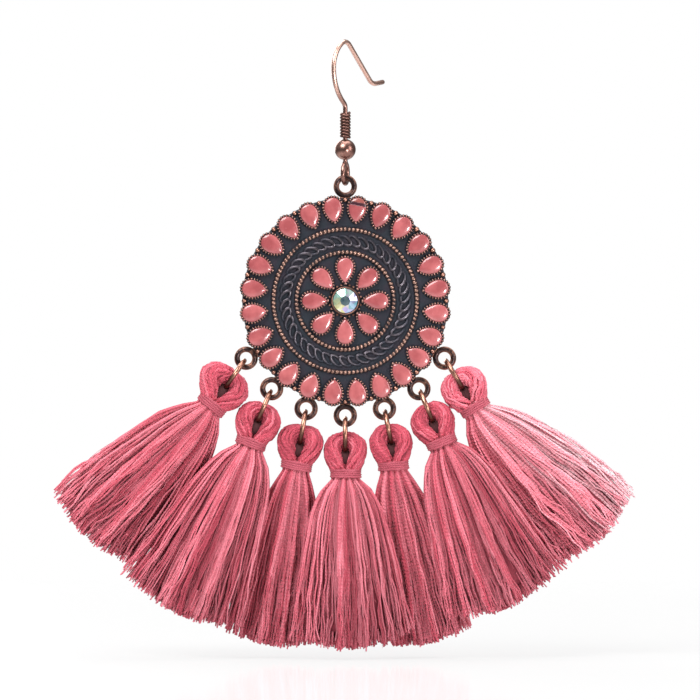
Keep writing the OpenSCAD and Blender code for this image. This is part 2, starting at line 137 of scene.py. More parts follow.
def smoothTable(rows, place, column):
    # a value between the rows of a table, on a smooth curve; the first column is the place
    last = len(rows) - 1
    if place >= rows[last][0]:
        slope = (rows[last][column] - rows[last - 1][column]) / (rows[last][0] - rows[last - 1][0])
        return rows[last][column] + slope * (place - rows[last][0])
    i = max(k for k in range(last) if rows[k][0] <= max(place, rows[0][0]))
    span = rows[i + 1][0] - rows[i][0]
    share = max(0.0, (place - rows[i][0]) / span)

    def slopeAt(k):
        low, high = max(k - 1, 0), min(k + 1, last)
        return (rows[high][column] - rows[low][column]) / (rows[high][0] - rows[low][0])

    start, end = rows[i][column], rows[i + 1][column]
    startSlope, endSlope = slopeAt(i) * span, slopeAt(i + 1) * span
    return (start * (2 * share**3 - 3 * share**2 + 1) + startSlope * (share**3 - 2 * share**2 + share)
            + end * (3 * share**2 - 2 * share**3) + endSlope * (share**3 - share**2))


class Value:
    # a node's output, with arithmetic that adds nodes to its tree
    def __init__(self, graph, socket):
        self.graph = graph
        self.socket = socket

    def math(self, operation, *others):
        return self.graph.math(operation, self, *others)

    def __add__(self, other):
        return self.math("ADD", other)

    def __sub__(self, other):
        return self.math("SUBTRACT", other)

    def __rsub__(self, other):
        return self.graph.math("SUBTRACT", other, self)

    def __mul__(self, other):
        return self.math("MULTIPLY", other)

    def __truediv__(self, other):
        return self.math("DIVIDE", other)

    def __rtruediv__(self, other):
        return self.graph.math("DIVIDE", other, self)

    def __pow__(self, other):
        return self.math("POWER", other)

    def spread(self, low, high, first=0.0, last=1.0, curve="LINEAR"):
        # maps low to high onto first to last
        return self.graph.node("ShaderNodeMapRange", {
            "Value": self, "From Min": low, "From Max": high, "To Min": first, "To Max": last},
            interpolation_type=curve)[0]

    def scaled(self, scale):
        return self.graph.node("ShaderNodeVectorMath", {0: self, "Scale": scale}, operation="SCALE")[0]

    def shifted(self, other, operation="ADD"):
        return self.graph.node("ShaderNodeVectorMath", {0: self, 1: other}, operation=operation)[0]


class Made:
    # a node, whose outputs are asked for by name or number
    def __init__(self, graph, node):
        self.graph = graph
        self.node = node

    def __getitem__(self, key):
        return Value(self.graph, self.node.outputs[key])


class Graph:
    # a node tree, with short ways to add to it
    def __init__(self, tree):
        self.tree = tree

    def feed(self, socket, value):
        if isinstance(value, Value):
            self.tree.links.new(value.socket, socket)
        else:
            socket.default_value = value

    def node(self, kind, wires=None, **settings):
        node = self.tree.nodes.new(kind)
        for key, value in settings.items():
            setattr(node, key, value)
        for key, value in (wires or {}).items():
            self.feed(node.inputs[key], value)
        return Made(self, node)

    def math(self, operation, *values):
        return self.node("ShaderNodeMath", dict(enumerate(values)), operation=operation)[0]

    def xyz(self, x, y, z):
        return self.node("ShaderNodeCombineXYZ", {0: x, 1: y, 2: z})[0]

    def partsOf(self, vector):
        return self.node("ShaderNodeSeparateXYZ", {0: vector})

    def noise(self, place, scale, detail, roughness=0.5):
        return self.node("ShaderNodeTexNoise", {
            "Vector": place, "Scale": scale, "Detail": detail, "Roughness": roughness})

    def blend(self, share, first, second):
        return self.node("ShaderNodeMix", {0: share, 6: first, 7: second}, data_type="RGBA")[2]

    def stored(self, name, output="Fac"):
        return self.node("ShaderNodeAttribute", attribute_name=name)[output]

    def store(self, geometry, name, value, kind="FLOAT", domain="POINT"):
        return self.node("GeometryNodeStoreNamedAttribute", {
            "Geometry": geometry, "Name": name, "Value": value}, data_type=kind, domain=domain)[0]

    def read(self, name, kind="FLOAT"):
        return self.node("GeometryNodeInputNamedAttribute", {"Name": name}, data_type=kind)[0]

    def chance(self, low, high, seed, offset):
        return self.node("FunctionNodeRandomValue", {
            2: low, 3: high, "Seed": seed + float(offset)}, data_type="FLOAT")[1]

    def paintedCopies(self, geometry, material):
        real = self.node("GeometryNodeRealizeInstances", {0: geometry})[0]
        return self.node("GeometryNodeSetMaterial", {"Geometry": real, "Material": material})[0]


def startGroup(name, kind, inputs):
    # an input's value is what it starts from, or the kind of a socket that starts empty
    graph = Graph(bpy.data.node_groups.new(name, kind))
    kinds = {float: "Float", int: "Int"}
    for label, value in inputs.items():
        socketKind = "NodeSocket" + kinds.get(type(value), value)
        socket = graph.tree.interface.new_socket(label, in_out="INPUT", socket_type=socketKind)
        if type(value) in kinds:
            socket.default_value = value
    return graph, graph.node("NodeGroupInput")


def closeGroup(graph, outputs):
    # an output is given as (kind, value)
    for label, (kind, value) in outputs.items():
        graph.tree.interface.new_socket(label, in_out="OUTPUT", socket_type="NodeSocket" + kind)
    graph.node("NodeGroupOutput", {label: value for label, (kind, value) in outputs.items()})
    return graph.tree


def growMesh(name, tree, values, base=None):
    # runs a Geometry Nodes tree on a mesh and keeps the result as a plain mesh
    holder = putObject(name, base or bpy.data.meshes.new(name))
    modifier = holder.modifiers.new("grow", "NODES")
    modifier.node_group = tree
    for item in tree.interface.items_tree:
        if item.item_type == "SOCKET" and item.in_out == "INPUT" and item.name in values:
            modifier[item.identifier] = values[item.name]
    depsgraph = bpy.context.evaluated_depsgraph_get()
    grown = holder.evaluated_get(depsgraph)
    mesh = bpy.data.meshes.new_from_object(grown, preserve_all_data_layers=True, depsgraph=depsgraph)
    bpy.data.objects.remove(holder)
    mesh.name = name
    return mesh


def finishPiece(name, mesh, body, nodes, material, place=Matrix()):
    mesh.transform(place)
    mesh.materials.clear()
    mesh.materials.append(material)
    piece = putObject(name, mesh)
    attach(piece, body)
    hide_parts(*nodes)


def makeGrainGroup():
    # fine casting grain with pits, and the slow cloud that stains follow
    graph, given = startGroup("fineGrain", "ShaderNodeTree", {"Place": "Vector", "Size": 0.3, "Pits": 0.4})
    place = given["Place"]
    scale = 1000.0 / given["Size"]
    pits = graph.node("ShaderNodeTexVoronoi", {"Vector": place, "Scale": scale * 0.9})["Distance"]
    height = graph.noise(place, scale, 5.0, 0.62)["Fac"] + pits.spread(0.0, 0.28, -1.0, 0.0) * given["Pits"]
    cloud = graph.noise(place, scale * 0.21, 3.0)["Fac"]
    return closeGroup(graph, {"Height": ("Float", height), "Cloud": ("Float", cloud)})


def makeRubbedGroup():
    # dark in the hollows, rubbed bright on the high spots; the front of the medallion is towards -Y
    graph, given = startGroup("rubbedCopper", "ShaderNodeTree", {
        "Place": "Vector", "Cloud": 0.5, "Grain": 0.5, "Low": 0.8, "High": 1.1, "Patchy": 0.35,
        "Dark": "Color", "Tarnish": "Color", "Back": "Color", "Brown": "Color", "Bright": "Color"})
    rise = graph.partsOf(given["Place"])["Y"] * -1000.0
    # in mm: how far below low the brown starts, and between which heights the back's own tone comes in
    brownBelow, backStart, backEnd = 0.22, -0.3, -0.46
    backStain, backGloss = 0.27, 0.6  # how much of the stain and of the gloss the back has
    speck = (given["Grain"] - 0.5) * given["Patchy"]
    level = rise + ((given["Cloud"] - 0.5) * given["Patchy"] + speck)
    rubbed = level.spread(given["Low"], given["High"], curve="SMOOTHSTEP")
    worn = level.spread(given["Low"] - brownBelow, given["High"], curve="SMOOTHSTEP")
    stain = given["Cloud"].spread(0.42, 0.66)
    behind = rise.spread(backStart, backEnd)
    low = graph.blend(stain, given["Dark"], given["Tarnish"])
    front = graph.blend(rubbed, graph.blend(worn, low, given["Brown"]), given["Bright"])
    back = graph.blend(stain * backStain, given["Back"], low)
    rough = rubbed.math("MAXIMUM", behind * backGloss).spread(0.0, 1.0, 0.5, 0.3) + speck * 0.5
    metallic = worn.math("MAXIMUM", behind).spread(0.0, 1.0, 0.45, 1.0)
    return closeGroup(graph, {
        "Color": ("Color", graph.blend(behind, front, back)), "Roughness": ("Float", rough),
        "Metallic": ("Float", metallic)})


# how much each of them adds to the tone of a thread
yarnTone = {"base": -0.2, "shade": 0.95, "cloud": 0.35, "twist": 0.08, "fuzz": 0.2}


def makeYarnGroup():
    # colour and twist of one thread, from what the thread tree stores on it, with painted shade on the inner threads
    graph, given = startGroup("yarnLook", "ShaderNodeTree", {
        "Place": "Vector", "Shade": 0.5, "Layer": 1.0, "Thread UV": "Vector", "Twist": 1.1,
        "Light": "Color", "Middle": "Color", "Deep": "Color", "Palest": "Color"})
    parts = graph.partsOf(given["Thread UV"])
    wave = ((parts["X"] + parts["Y"] * given["Twist"]) * (2 * fullTurn)).math("SINE")
    fuzz = graph.noise(given["Place"], 6500.0, 3.0, 0.7)["Fac"]
    cloud = graph.noise(given["Place"], 260.0, 2.0)["Fac"]
    # a thread's stored shade carries its own tone and the painted light of a paler tassel or side, up to the palest
    # tone
    tone = given["Shade"] * yarnTone["shade"] + yarnTone["base"] + cloud * yarnTone["cloud"]
    tone = tone + wave * yarnTone["twist"] + (fuzz - 0.5) * yarnTone["fuzz"]
    skin = graph.blend(tone, given["Middle"], given["Light"])
    skin = graph.blend(tone.spread(0.95, 1.6), skin, given["Palest"])
    skin = graph.blend(tone.spread(0.0, -0.9, 0.0, 0.8), skin, given["Deep"])
    # painted shade: threads with a lower layer, deeper in the tassel, are painted towards the deep tone
    skin = graph.blend(given["Layer"].spread(0.55, 0.93), given["Deep"], skin)
    return closeGroup(graph, {"Color": ("Color", skin), "Height": ("Float", fuzz * 0.5 + wave * 0.5)})


grainGroup = makeGrainGroup()
rubbedGroup = makeRubbedGroup()
yarnGroup = makeYarnGroup()


def startMaterial(name):
    material = bpy.data.materials.new(name)
    material.use_nodes = True
    graph = Graph(material.node_tree)
    return material, graph, graph.node("ShaderNodeTexCoord")["Object"]


def finishMaterial(material, graph, look, height=None, depth=0.0):
    # depth is that of the bump, in mm
    if height is not None:
        look["Normal"] = graph.node("ShaderNodeBump", {"Height": height, "Distance": depth * mm, "Strength": 1.0})[0]
    for name, value in look.items():
        graph.feed(graph.tree.nodes["Principled BSDF"].inputs[name], value)
    return material


def addGrain(graph, place, size, pits):
    return graph.node("ShaderNodeGroup", {"Place": place, "Size": size, "Pits": pits}, node_tree=grainGroup)


def makePlatedCopper(name, look):
    # a paler tone higher up; a piece can also store where it is painted towards its dull tone, as painted shade on the
    # jump rings' feet
    material, graph, place = startMaterial(name)
    grain = addGrain(graph, place, look["grain"], 0.2)
    level = graph.partsOf(place)["Z"].spread(look["darkAt"] * mm, look["paleAt"] * mm, -0.22, 0.22)
    metal = graph.blend((grain["Cloud"] + level).spread(0.24, 0.76), look["shaded"], look["bright"])
    return finishMaterial(material, graph, {
        "Base Color": graph.blend(graph.stored("dullAndShade"), metal, look["dullAndShade"]),
        "Roughness": grain["Height"].spread(0.2, 0.8, look["rough"] - 0.07, look["rough"] + 0.1),
        "Metallic": 1.0}, grain["Height"], look["bump"])


def makeRubbedCopper(name, look):
    material, graph, place = startMaterial(name)
    grain = addGrain(graph, place, look["grain"], look["pits"])
    rubbed = graph.node("ShaderNodeGroup", {
        "Place": place, "Cloud": grain["Cloud"], "Grain": grain["Height"], "Low": look["low"],
        "High": look["high"], "Patchy": look["patchy"], "Dark": look["dark"], "Tarnish": look["tarnish"],
        "Back": look["backTone"], "Brown": look["brown"], "Bright": look["bright"]}, node_tree=rubbedGroup)
    return finishMaterial(material, graph, {
        "Base Color": rubbed["Color"], "Roughness": rubbed["Roughness"],
        "Metallic": rubbed["Metallic"]}, grain["Height"], look["bump"])


# darkAt and paleAt are heights in mm, and the dull tone is the painted shade that the jump rings take towards their
# feet
hookCopper = makePlatedCopper("hookCopper", {
    "bright": colour(222, 182, 167), "shaded": colour(136, 99, 90), "dullAndShade": colour(70, 46, 42),
    "rough": 0.28, "grain": 0.9, "bump": 0.0015, "darkAt": -10.0, "paleAt": -3.5})
coilCopper = makePlatedCopper("coilCopper", {
    "bright": colour(128, 94, 86), "shaded": colour(84, 60, 54), "dullAndShade": colour(56, 40, 38),
    "rough": 0.36, "grain": 0.5, "bump": 0.003, "darkAt": -16.0, "paleAt": -9.0})
ringCopper = makePlatedCopper("ringCopper", {
    "bright": colour(206, 150, 128), "shaded": colour(118, 80, 68), "dullAndShade": colour(64, 42, 38),
    "rough": 0.28, "grain": 0.8, "bump": 0.003, "darkAt": -70.0, "paleAt": -40.0})

# from low to high, in mm before the plate's middle, the dark metal turns brown and then bright
groundLook = {
    "dark": colour(30, 36, 46), "tarnish": colour(40, 34, 46), "backTone": colour(150, 110, 97),
    "brown": colour(58, 48, 50), "bright": colour(170, 122, 104),
    "low": 0.9, "high": 1.2, "patchy": 0.3, "grain": 0.28, "pits": 0.5, "bump": 0.04}


def makeReliefCopper(name, brown, bright, low, high, patchy, bump):
    return makeRubbedCopper(name, {
        **groundLook, "brown": brown, "bright": bright, "low": low, "high": high, "patchy": patchy, "bump": bump})


groundCopper = makeRubbedCopper("groundCopper", groundLook)
settingCopper = makeReliefCopper("settingCopper", colour(66, 50, 50), colour(168, 128, 118), 1.04, 1.25, 0.35, 0.012)
ropeCopper = makeReliefCopper("ropeCopper", colour(82, 62, 58), colour(152, 120, 108), 0.78, 0.98, 0.5, 0.01)
chainCopper = makeReliefCopper("chainCopper", colour(52, 53, 62), colour(96, 90, 96), 0.74, 1.0, 0.4, 0.01)
grainCopper = makeReliefCopper("grainCopper", colour(84, 60, 54), colour(168, 122, 106), 0.64, 0.9, 0.2, 0.01)
cupCopper = makeReliefCopper("cupCopper", colour(70, 54, 50), colour(140, 104, 92), 1.2, 1.42, 0.3, 0.008)
eyeCopper = makeRubbedCopper("eyeCopper", {  # bright on its edges and dark on its face
    **groundLook, "dark": colour(172, 122, 100), "tarnish": colour(128, 90, 76), "brown": colour(104, 74, 64),
    "bright": colour(62, 50, 50), "low": 0.24, "high": 0.42, "patchy": 0.4, "bump": 0.02})

enamelLook = {"light": colour(181, 96, 98), "deep": colour(151, 71, 74), "rough": 0.2, "grain": 0.5, "bump": 0.06}
# a dark line across one drop, with duller enamel beyond it; height is in metres, at the middle of the medallion,
# and ragged, half, edge, fade and depth are in mm
flawLook = {
    "dullAndShade": colour(138, 74, 66), "crack": colour(58, 22, 33), "slope": 0.2, "height": -0.0232, "ragged": 0.3,
    "half": 0.17, "edge": 0.32, "fade": 0.35, "dullShare": 0.85, "depth": 0.1}


def makeEnamel(name, look, flaw=None):
    material, graph, place = startMaterial(name)
    grain = addGrain(graph, place, look["grain"], 0.0)
    skin = graph.blend(grain["Cloud"].spread(0.35, 0.65), look["deep"], look["light"])
    height, depth = grain["Cloud"], look["bump"]
    if flaw:
        parts = graph.partsOf(place)
        up = parts["X"] * flaw["slope"] + (parts["Z"] - flaw["height"])
        up = (grain["Height"] - 0.5) * (flaw["ragged"] * mm) + up
        line = up.math("ABSOLUTE").spread(flaw["half"] * mm, flaw["edge"] * mm, 1.0, 0.0)
        beyond = up.spread(0.0, flaw["fade"] * mm, 0.0, flaw["dullShare"])
        skin = graph.blend(line, graph.blend(beyond, skin, flaw["dullAndShade"]), flaw["crack"])
        height, depth = grain["Cloud"] * 0.15 - line, flaw["depth"]
    return finishMaterial(material, graph, {
        "Base Color": skin, "Roughness": grain["Height"].spread(0.3, 0.7, look["rough"] - 0.05, look["rough"] + 0.08),
        "Coat Weight": 0.7, "Coat Roughness": 0.06, "Specular IOR Level": 0.55}, height, depth)


def makeCrystal():
    # a mirror coating in the colour that each facet stores, partly the coating's own tint and partly painted
    # reflection, under a whitish veil
    material, graph, place = startMaterial("coatedCrystal")
    veil = graph.noise(place, 900.0, 2.0)["Fac"].spread(0.35, 0.7, 0.0, 0.25)
    return finishMaterial(material, graph, {
        "Base Color": graph.blend(veil, graph.stored("facetTintAndReflection", "Color"), colour(225, 235, 238)),
        "Metallic": 0.55, "Roughness": 0.07, "Coat Weight": 1.0, "Coat Roughness": 0.02})


def makeYarn(name, look):
    material, graph, place = startMaterial(name)
    yarn = graph.node("ShaderNodeGroup", {
        "Place": place, "Shade": graph.stored("shade"), "Layer": graph.stored("layer"),
        "Thread UV": graph.stored("threadUv", "Vector"), "Twist": look["twist"], "Light": look["light"],
        "Middle": look["middle"], "Deep": look["deep"], "Palest": look["palest"]}, node_tree=yarnGroup)
    return finishMaterial(material, graph, {
        "Base Color": yarn["Color"], "Roughness": 0.88, "Specular IOR Level": 0.25, "Sheen Weight": look["sheen"],
        "Sheen Roughness": 0.5, "Sheen Tint": colour(255, 190, 195)}, yarn["Height"], look["bump"])


def makeYarnCore(name, deep, light):
    # packed threads, painted dark as painted shade under the loose ones
    material, graph, place = startMaterial(name)
    flow = graph.node("ShaderNodeMapping", {"Vector": graph.stored("flow", "Vector"), "Scale": (120.0, 5.0, 1.0)})[0]
    streak = graph.noise(flow, 1.0, 3.0)["Fac"]
    look = {"Base Color": graph.blend(streak, deep, light), "Roughness": 0.92}
    return finishMaterial(material, graph, look, streak, 0.15)


edgeEnamel = makeEnamel("edgeEnamel", enamelLook)
flawedEnamel = makeEnamel("flawedEnamel", enamelLook, flawLook)
crystalLook = makeCrystal()
roseYarn = makeYarn("roseYarn", {
    "light": colour(252, 151, 166), "middle": colour(202, 82, 100), "deep": colour(109, 34, 46),
    "palest": colour(255, 210, 217), "twist": 900.0, "bump": 0.08, "sheen": 0.18})
neckYarn = makeYarn("neckYarn", {
    "light": colour(196, 102, 116), "middle": colour(158, 64, 79), "deep": colour(96, 32, 41),
    "palest": colour(240, 170, 180), "twist": 1600.0, "bump": 0.05, "sheen": 0.15})
shadedPackedYarn = makeYarnCore("shadedPackedYarn", colour(84, 26, 36), colour(150, 54, 69))
# a darker tone for the plugs of painted shade in the heads' slits
slitShadeYarn = makeYarnCore("slitShadeYarn", colour(56, 25, 28), colour(74, 35, 38))
print("materials made")


def makeRoundTree():
    # one shape repeated round a circle, its own +Y pointing outwards
    graph, given = startGroup("repeatRound", "GeometryNodeTree", {
        "Geometry": "Geometry", "Count": 24, "Radius": 0.01, "First Turn": 0.0, "Turn Step": 0.2, "Uneven": 0.0,
        "Seed": 1, "Material": "Material"})
    turn = graph.node("GeometryNodeInputIndex")[0] * given["Turn Step"] + given["First Turn"]
    place = graph.xyz(turn.math("SINE") * given["Radius"], turn.math("COSINE") * given["Radius"], 0.0)
    points = graph.node("GeometryNodePoints", {"Count": given["Count"], "Position": place})[0]
    wobble = graph.chance(-1.0, 1.0, given["Seed"], 3) * given["Uneven"]
    facing = graph.node("FunctionNodeEulerToRotation", {0: graph.xyz(0.0, 0.0, wobble - turn)})[0]
    size = graph.chance(-1.0, 1.0, given["Seed"], 8) * given["Uneven"] + 1.0
    copies = graph.node("GeometryNodeInstanceOnPoints", {
        "Points": points, "Instance": given["Geometry"], "Rotation": facing, "Scale": graph.xyz(size, size, size)})[0]
    return closeGroup(graph, {"Geometry": ("Geometry", graph.paintedCopies(copies, given["Material"]))})


def threadMesh(graph, given, curve, thickness):
    # a tube along each thread, with the thread's own UV: round it, and metres along it; it ends the tree
    curve = graph.store(curve, "along", graph.node("GeometryNodeSplineParameter")["Length"])
    ring = graph.node("GeometryNodeCurvePrimitiveCircle", {"Resolution": given["Sides"], "Radius": 1.0})[0]
    ring = graph.store(ring, "around", graph.node("GeometryNodeSplineParameter")["Factor"])
    tube = graph.node("GeometryNodeCurveToMesh", {
        "Curve": curve, "Profile Curve": ring, "Scale": thickness, "Fill Caps": True})[0]
    uv = graph.xyz(graph.read("around"), graph.read("along"), 0.0)
    marked = graph.store(tube, "threadUv", uv, kind="FLOAT2", domain="CORNER")
    smooth = graph.node("GeometryNodeSetShadeSmooth", {"Geometry": marked, "Shade Smooth": True})[0]
    return closeGroup(graph, {"Geometry": ("Geometry", graph.paintedCopies(smooth, given["Material"]))})


def makeWindingTree():
    # a wire or thread wound round the Z axis
    graph, given = startGroup("windRound", "GeometryNodeTree", {
        "Geometry": "Geometry", "Radius": 0.002, "Height": 0.002, "Turns": 5.0, "Thickness": 0.0002, "Steps": 28,
        "Sides": 8, "Slack": 0.0, "Seed": 1, "Material": "Material"})
    spiral = graph.node("GeometryNodeCurveSpiral", {
        "Resolution": given["Steps"], "Rotations": given["Turns"], "Start Radius": given["Radius"],
        "End Radius": given["Radius"], "Height": given["Height"]})[0]
    place = graph.node("GeometryNodeInputPosition")[0].scaled(900.0)
    noise = graph.noise(place.shifted(graph.xyz(given["Seed"], 0.0, 0.0)), 1.0, 1.0)
    push = noise["Color"].shifted((0.5, 0.5, 0.5), "SUBTRACT").scaled(given["Slack"])
    loose = graph.node("GeometryNodeSetPosition", {"Geometry": spiral, "Offset": push})[0]
    curve = graph.store(graph.store(loose, "shade", noise["Fac"]), "layer", 1.0)
    return threadMesh(graph, given, curve, given["Thickness"])


# outward sends more threads to the skin, seedStep keeps the noises of two seeds apart, bend makes the locks uneven,
# there are finer times as many fine locks, rimDepth sinks a lock's rim, which also paints it darker as painted shade,
# and the painted shade of inner threads lifts from endFrom to endTo, to endLayer at the cut ends
threadLook = {
    "jitter": 0.006, "outward": 1.9, "seedStep": 7.31, "bend": 0.9, "finer": 2.63, "finerShare": 0.3,
    "rimDepth": 0.24, "endFrom": 0.93, "endTo": 0.985, "endLayer": 0.9}


def makeThreadTree():
    # threads that follow a form: u of its flow map goes round the form, v along it;
    # layer is a thread's place between the form's middle line, 0, and its skin, 1, and a lower layer is painted darker
    # as painted shade
    graph, given = startGroup("coverWithThread", "GeometryNodeTree", {
        "Geometry": "Geometry", "Count": 200, "Steps": 14, "Sides": 4, "Thickness": 0.00017, "Inner Share": 0.7,
        "First": 0.001, "Last": 0.999, "Uneven Ends": 0.03, "Wander": 0.03, "Waviness": 0.0005, "Calm Start": 0.1,
        "Locks": 12.0, "Clumping": 0.6, "Front Share": 0.5, "Taper": 0.0, "Pale": 0.0, "Painted Lit Side": 0.0, "Twist": 0.0,
        "Seed": 1, "Material": "Material"})
    seed, locks, clumping = given["Seed"], given["Locks"], given["Clumping"]

    # where each thread starts, more of them at the front and back than at the sides
    goldenShare = 0.6180339
    side = (graph.node("GeometryNodeInputIndex")[0] * goldenShare).math("FRACT")
    side = (side + graph.chance(-1.0, 1.0, seed, 1) * threadLook["jitter"]).math("FRACT")
    side = (side * (2 * fullTurn)).math("SINE") * (1 / (2 * fullTurn)) * given["Front Share"] + side
    layer = 1.0 - graph.chance(0.0, 1.0, seed, 2) ** threadLook["outward"] * (1.0 - given["Inner Share"])
    points = graph.node("GeometryNodePoints", {"Count": given["Count"]})[0]
    points = graph.store(graph.store(points, "side", side), "layer", layer)
    points = graph.store(points, "shade", graph.chance(0.0, 1.0, seed, 4))
    points = graph.store(points, "tip", graph.chance(0.0, 1.0, seed, 5) * given["Uneven Ends"])
    line = graph.node("GeometryNodeCurvePrimitiveLine", {"End": (0.0, 0.0, 1.0)})[0]
    line = graph.node("GeometryNodeResampleCurve", {"Curve": line, "Count": given["Steps"]})[0]
    copies = graph.node("GeometryNodeInstanceOnPoints", {"Points": points, "Instance": line})[0]
    curves = graph.node("GeometryNodeRealizeInstances", {0: copies})[0]

    side, layer = graph.read("side"), graph.read("layer")
    share = graph.node("GeometryNodeSplineParameter")["Factor"]
    along = share * (given["Last"] - graph.read("tip") - given["First"]) + given["First"]
    calm = share.spread(0.0, 1.0, given["Calm Start"])

    def noiseAlong(sideScale, layerScale, alongScale, detail):
        place = graph.xyz(side * sideScale + seed * threadLook["seedStep"], layer * layerScale, along * alongScale)
        return graph.noise(place, 1.0, detail)

    # threads wander sideways and draw together in locks, and threads on a lock's rim lie deeper and are painted darker,
    # as painted shade in the grooves
    drift = (noiseAlong(60.0, 9.0, 2.5, 1.0)["Fac"] - 0.5) * given["Wander"]
    bend = (side * (3 * fullTurn) + seed).math("SINE")
    phase = side * locks + bend * (threadLook["bend"] / fullTurn)
    lockTurn, lockWidth = phase * fullTurn, locks * fullTurn
    finer = (phase * (threadLook["finer"] * fullTurn)).math("SINE") * threadLook["finerShare"]
    pull = lockTurn.math("SINE") / lockWidth + finer / lockWidth
    rim = lockTurn.math("COSINE") * 0.5 + 0.5
    layer = layer - rim * (clumping * threadLook["rimDepth"])
    tone = noiseAlong(34.0, 3.0, 1.2, 1.0)["Fac"].spread(0.3, 0.7, -0.2, 0.55)
    twist = (along * 2.0 - 1.0).math("ABSOLUTE") * given["Twist"]
    side = (side + pull * (clumping * calm) + (twist + drift * calm)).math("FRACT")
    spot = graph.xyz(side, along, 0.0)

    def onForm(value):
        return graph.node("GeometryNodeSampleUVSurface", {
            "Mesh": given["Geometry"], "Sample UV": spot, 1: value, 2: graph.read("flow", "FLOAT_VECTOR")},
            data_type="FLOAT_VECTOR")[0]

    skin = onForm(graph.node("GeometryNodeInputPosition")[0])
    axis = onForm(graph.read("axis", "FLOAT_VECTOR"))
    place = graph.node("ShaderNodeMix", {0: layer, 4: axis, 5: skin}, data_type="VECTOR")[1]
    push = noiseAlong(41.0, 23.0, 7.0, 2.0)["Color"].shifted((0.5, 0.5, 0.5), "SUBTRACT")
    push = push.scaled(given["Waviness"] * calm)
    curves = graph.store(curves, "spot", place.shifted(push), kind="FLOAT_VECTOR")

    # painted light: one side of the form can be painted paler, and at the cut ends the inner threads lose their painted
    # shade, as light as the outermost threads
    fade = (side * fullTurn).math("COSINE") * given["Painted Lit Side"] + 1.0
    curves = graph.store(curves, "shade", graph.read("shade") * 0.5 + (given["Pale"] * fade + tone))
    shadeLayer = (threadLook["endLayer"] - layer) * along.spread(threadLook["endFrom"], threadLook["endTo"]) + layer
    curves = graph.store(curves, "layer", shadeLayer.math("MAXIMUM", layer))
    curves = graph.node("GeometryNodeSetPosition", {
        "Geometry": curves, "Position": graph.read("spot", "FLOAT_VECTOR")})[0]
    curves = graph.store(curves, "slim", share ** 3.0 * (given["Taper"] * -1.0) + 1.0)
    return threadMesh(graph, given, curves, given["Thickness"] * graph.read("slim"))


roundTree = makeRoundTree()
windingTree = makeWindingTree()
threadTree = makeThreadTree()

# metres; the camera looks at middle from away, and frameSize is the picture's height there
view = {"middle": (0.0007, 0.0, -0.0450), "away": 0.78, "frameSize": 0.1030, "floor": -0.0904, "floorRadius": 0.3}
# place, size and power of each light
softboxes = {
    "keyBox": ((-0.38, -0.6, 0.62), (0.6, 0.5), 9.5),
    "glintBox": ((0.26, -0.56, -0.15), (0.15, 0.12), 1.8),
    "sideBox": ((0.65, -0.4, 0.15), (0.3, 0.5), 2.6),
    "topBox": ((0.1, 0.1, 0.95), (0.9, 0.9), 9.0),
    "backBox": ((-0.35, 0.8, 0.25), (0.6, 0.6), 4.5),
}


def makeFloor():
    count = 64
    mesh = bpy.data.meshes.new("paleFloor")
    mesh.from_pydata(circle(count, view["floorRadius"], view["floor"]), [], [tuple(range(count))])
    material, graph, place = startMaterial("paleFloor")
    # it glows a little, mirrors the hem faintly and fades out towards its rim
    far = graph.node("ShaderNodeVectorMath", {0: place}, operation="LENGTH")["Value"]
    mesh.materials.append(finishMaterial(material, graph, {
        "Base Color": (0.4, 0.4, 0.4, 1), "Roughness": 0.1, "Alpha": far.spread(0.13, 0.285, 0.85, 0.0),
        "Emission Color": (1, 1, 1, 1), "Emission Strength": 0.6}))
    putObject("paleFloor", mesh)


def addSoftbox(name, spot, size, power):
    light = bpy.data.lights.new(name, "AREA")
    light.shape = "RECTANGLE"
    light.size, light.size_y = size
    light.energy = power
    lamp = putObject(name, light)
    lamp.location = spot
    lamp.rotation_euler = (Vector(view["middle"]) - Vector(spot)).to_track_quat("-Z", "Y").to_euler()


def makeStage():
    camera = bpy.data.cameras.new("studioCamera")
    camera.sensor_width = 36
    camera.angle = 2 * math.atan(view["frameSize"] / 2 / view["away"])
    camera.clip_start = 0.05
    cameraObject = putObject("studioCamera", camera)
    cameraObject.location = (view["middle"][0], -view["away"], view["middle"][2])
    cameraObject.rotation_euler = (math.radians(90), 0, 0)
    scene.camera = cameraObject

    makeFloor()
    for name, values in softboxes.items():
        addSoftbox(name, *values)

    # white to the camera, and a grey room with a darker horizon to the metal
    world = bpy.data.worlds.new("studio")
    scene.world = world
    world.use_nodes = True
    graph = Graph(world.node_tree)
    rise = graph.partsOf(graph.node("ShaderNodeTexCoord")["Generated"])["Z"]
    ramp = graph.node("ShaderNodeValToRGB", {"Fac": rise * 0.5 + 0.5})
    tones = ramp.node.color_ramp.elements
    tones[0].color, tones[1].color = (0.42, 0.41, 0.42, 1), (0.5, 0.5, 0.5, 1)
    tones.new(0.52).color = (0.2, 0.2, 0.2, 1)
    seen = graph.node("ShaderNodeLightPath")["Is Camera Ray"]
    graph.feed(graph.tree.nodes["Background"].inputs["Color"], graph.blend(seen, ramp[0], (1.0, 1.0, 1.0, 1)))
    scene.view_settings.view_transform = "Standard"
    scene.view_settings.look = "None"


makeStage()
print("stage made")

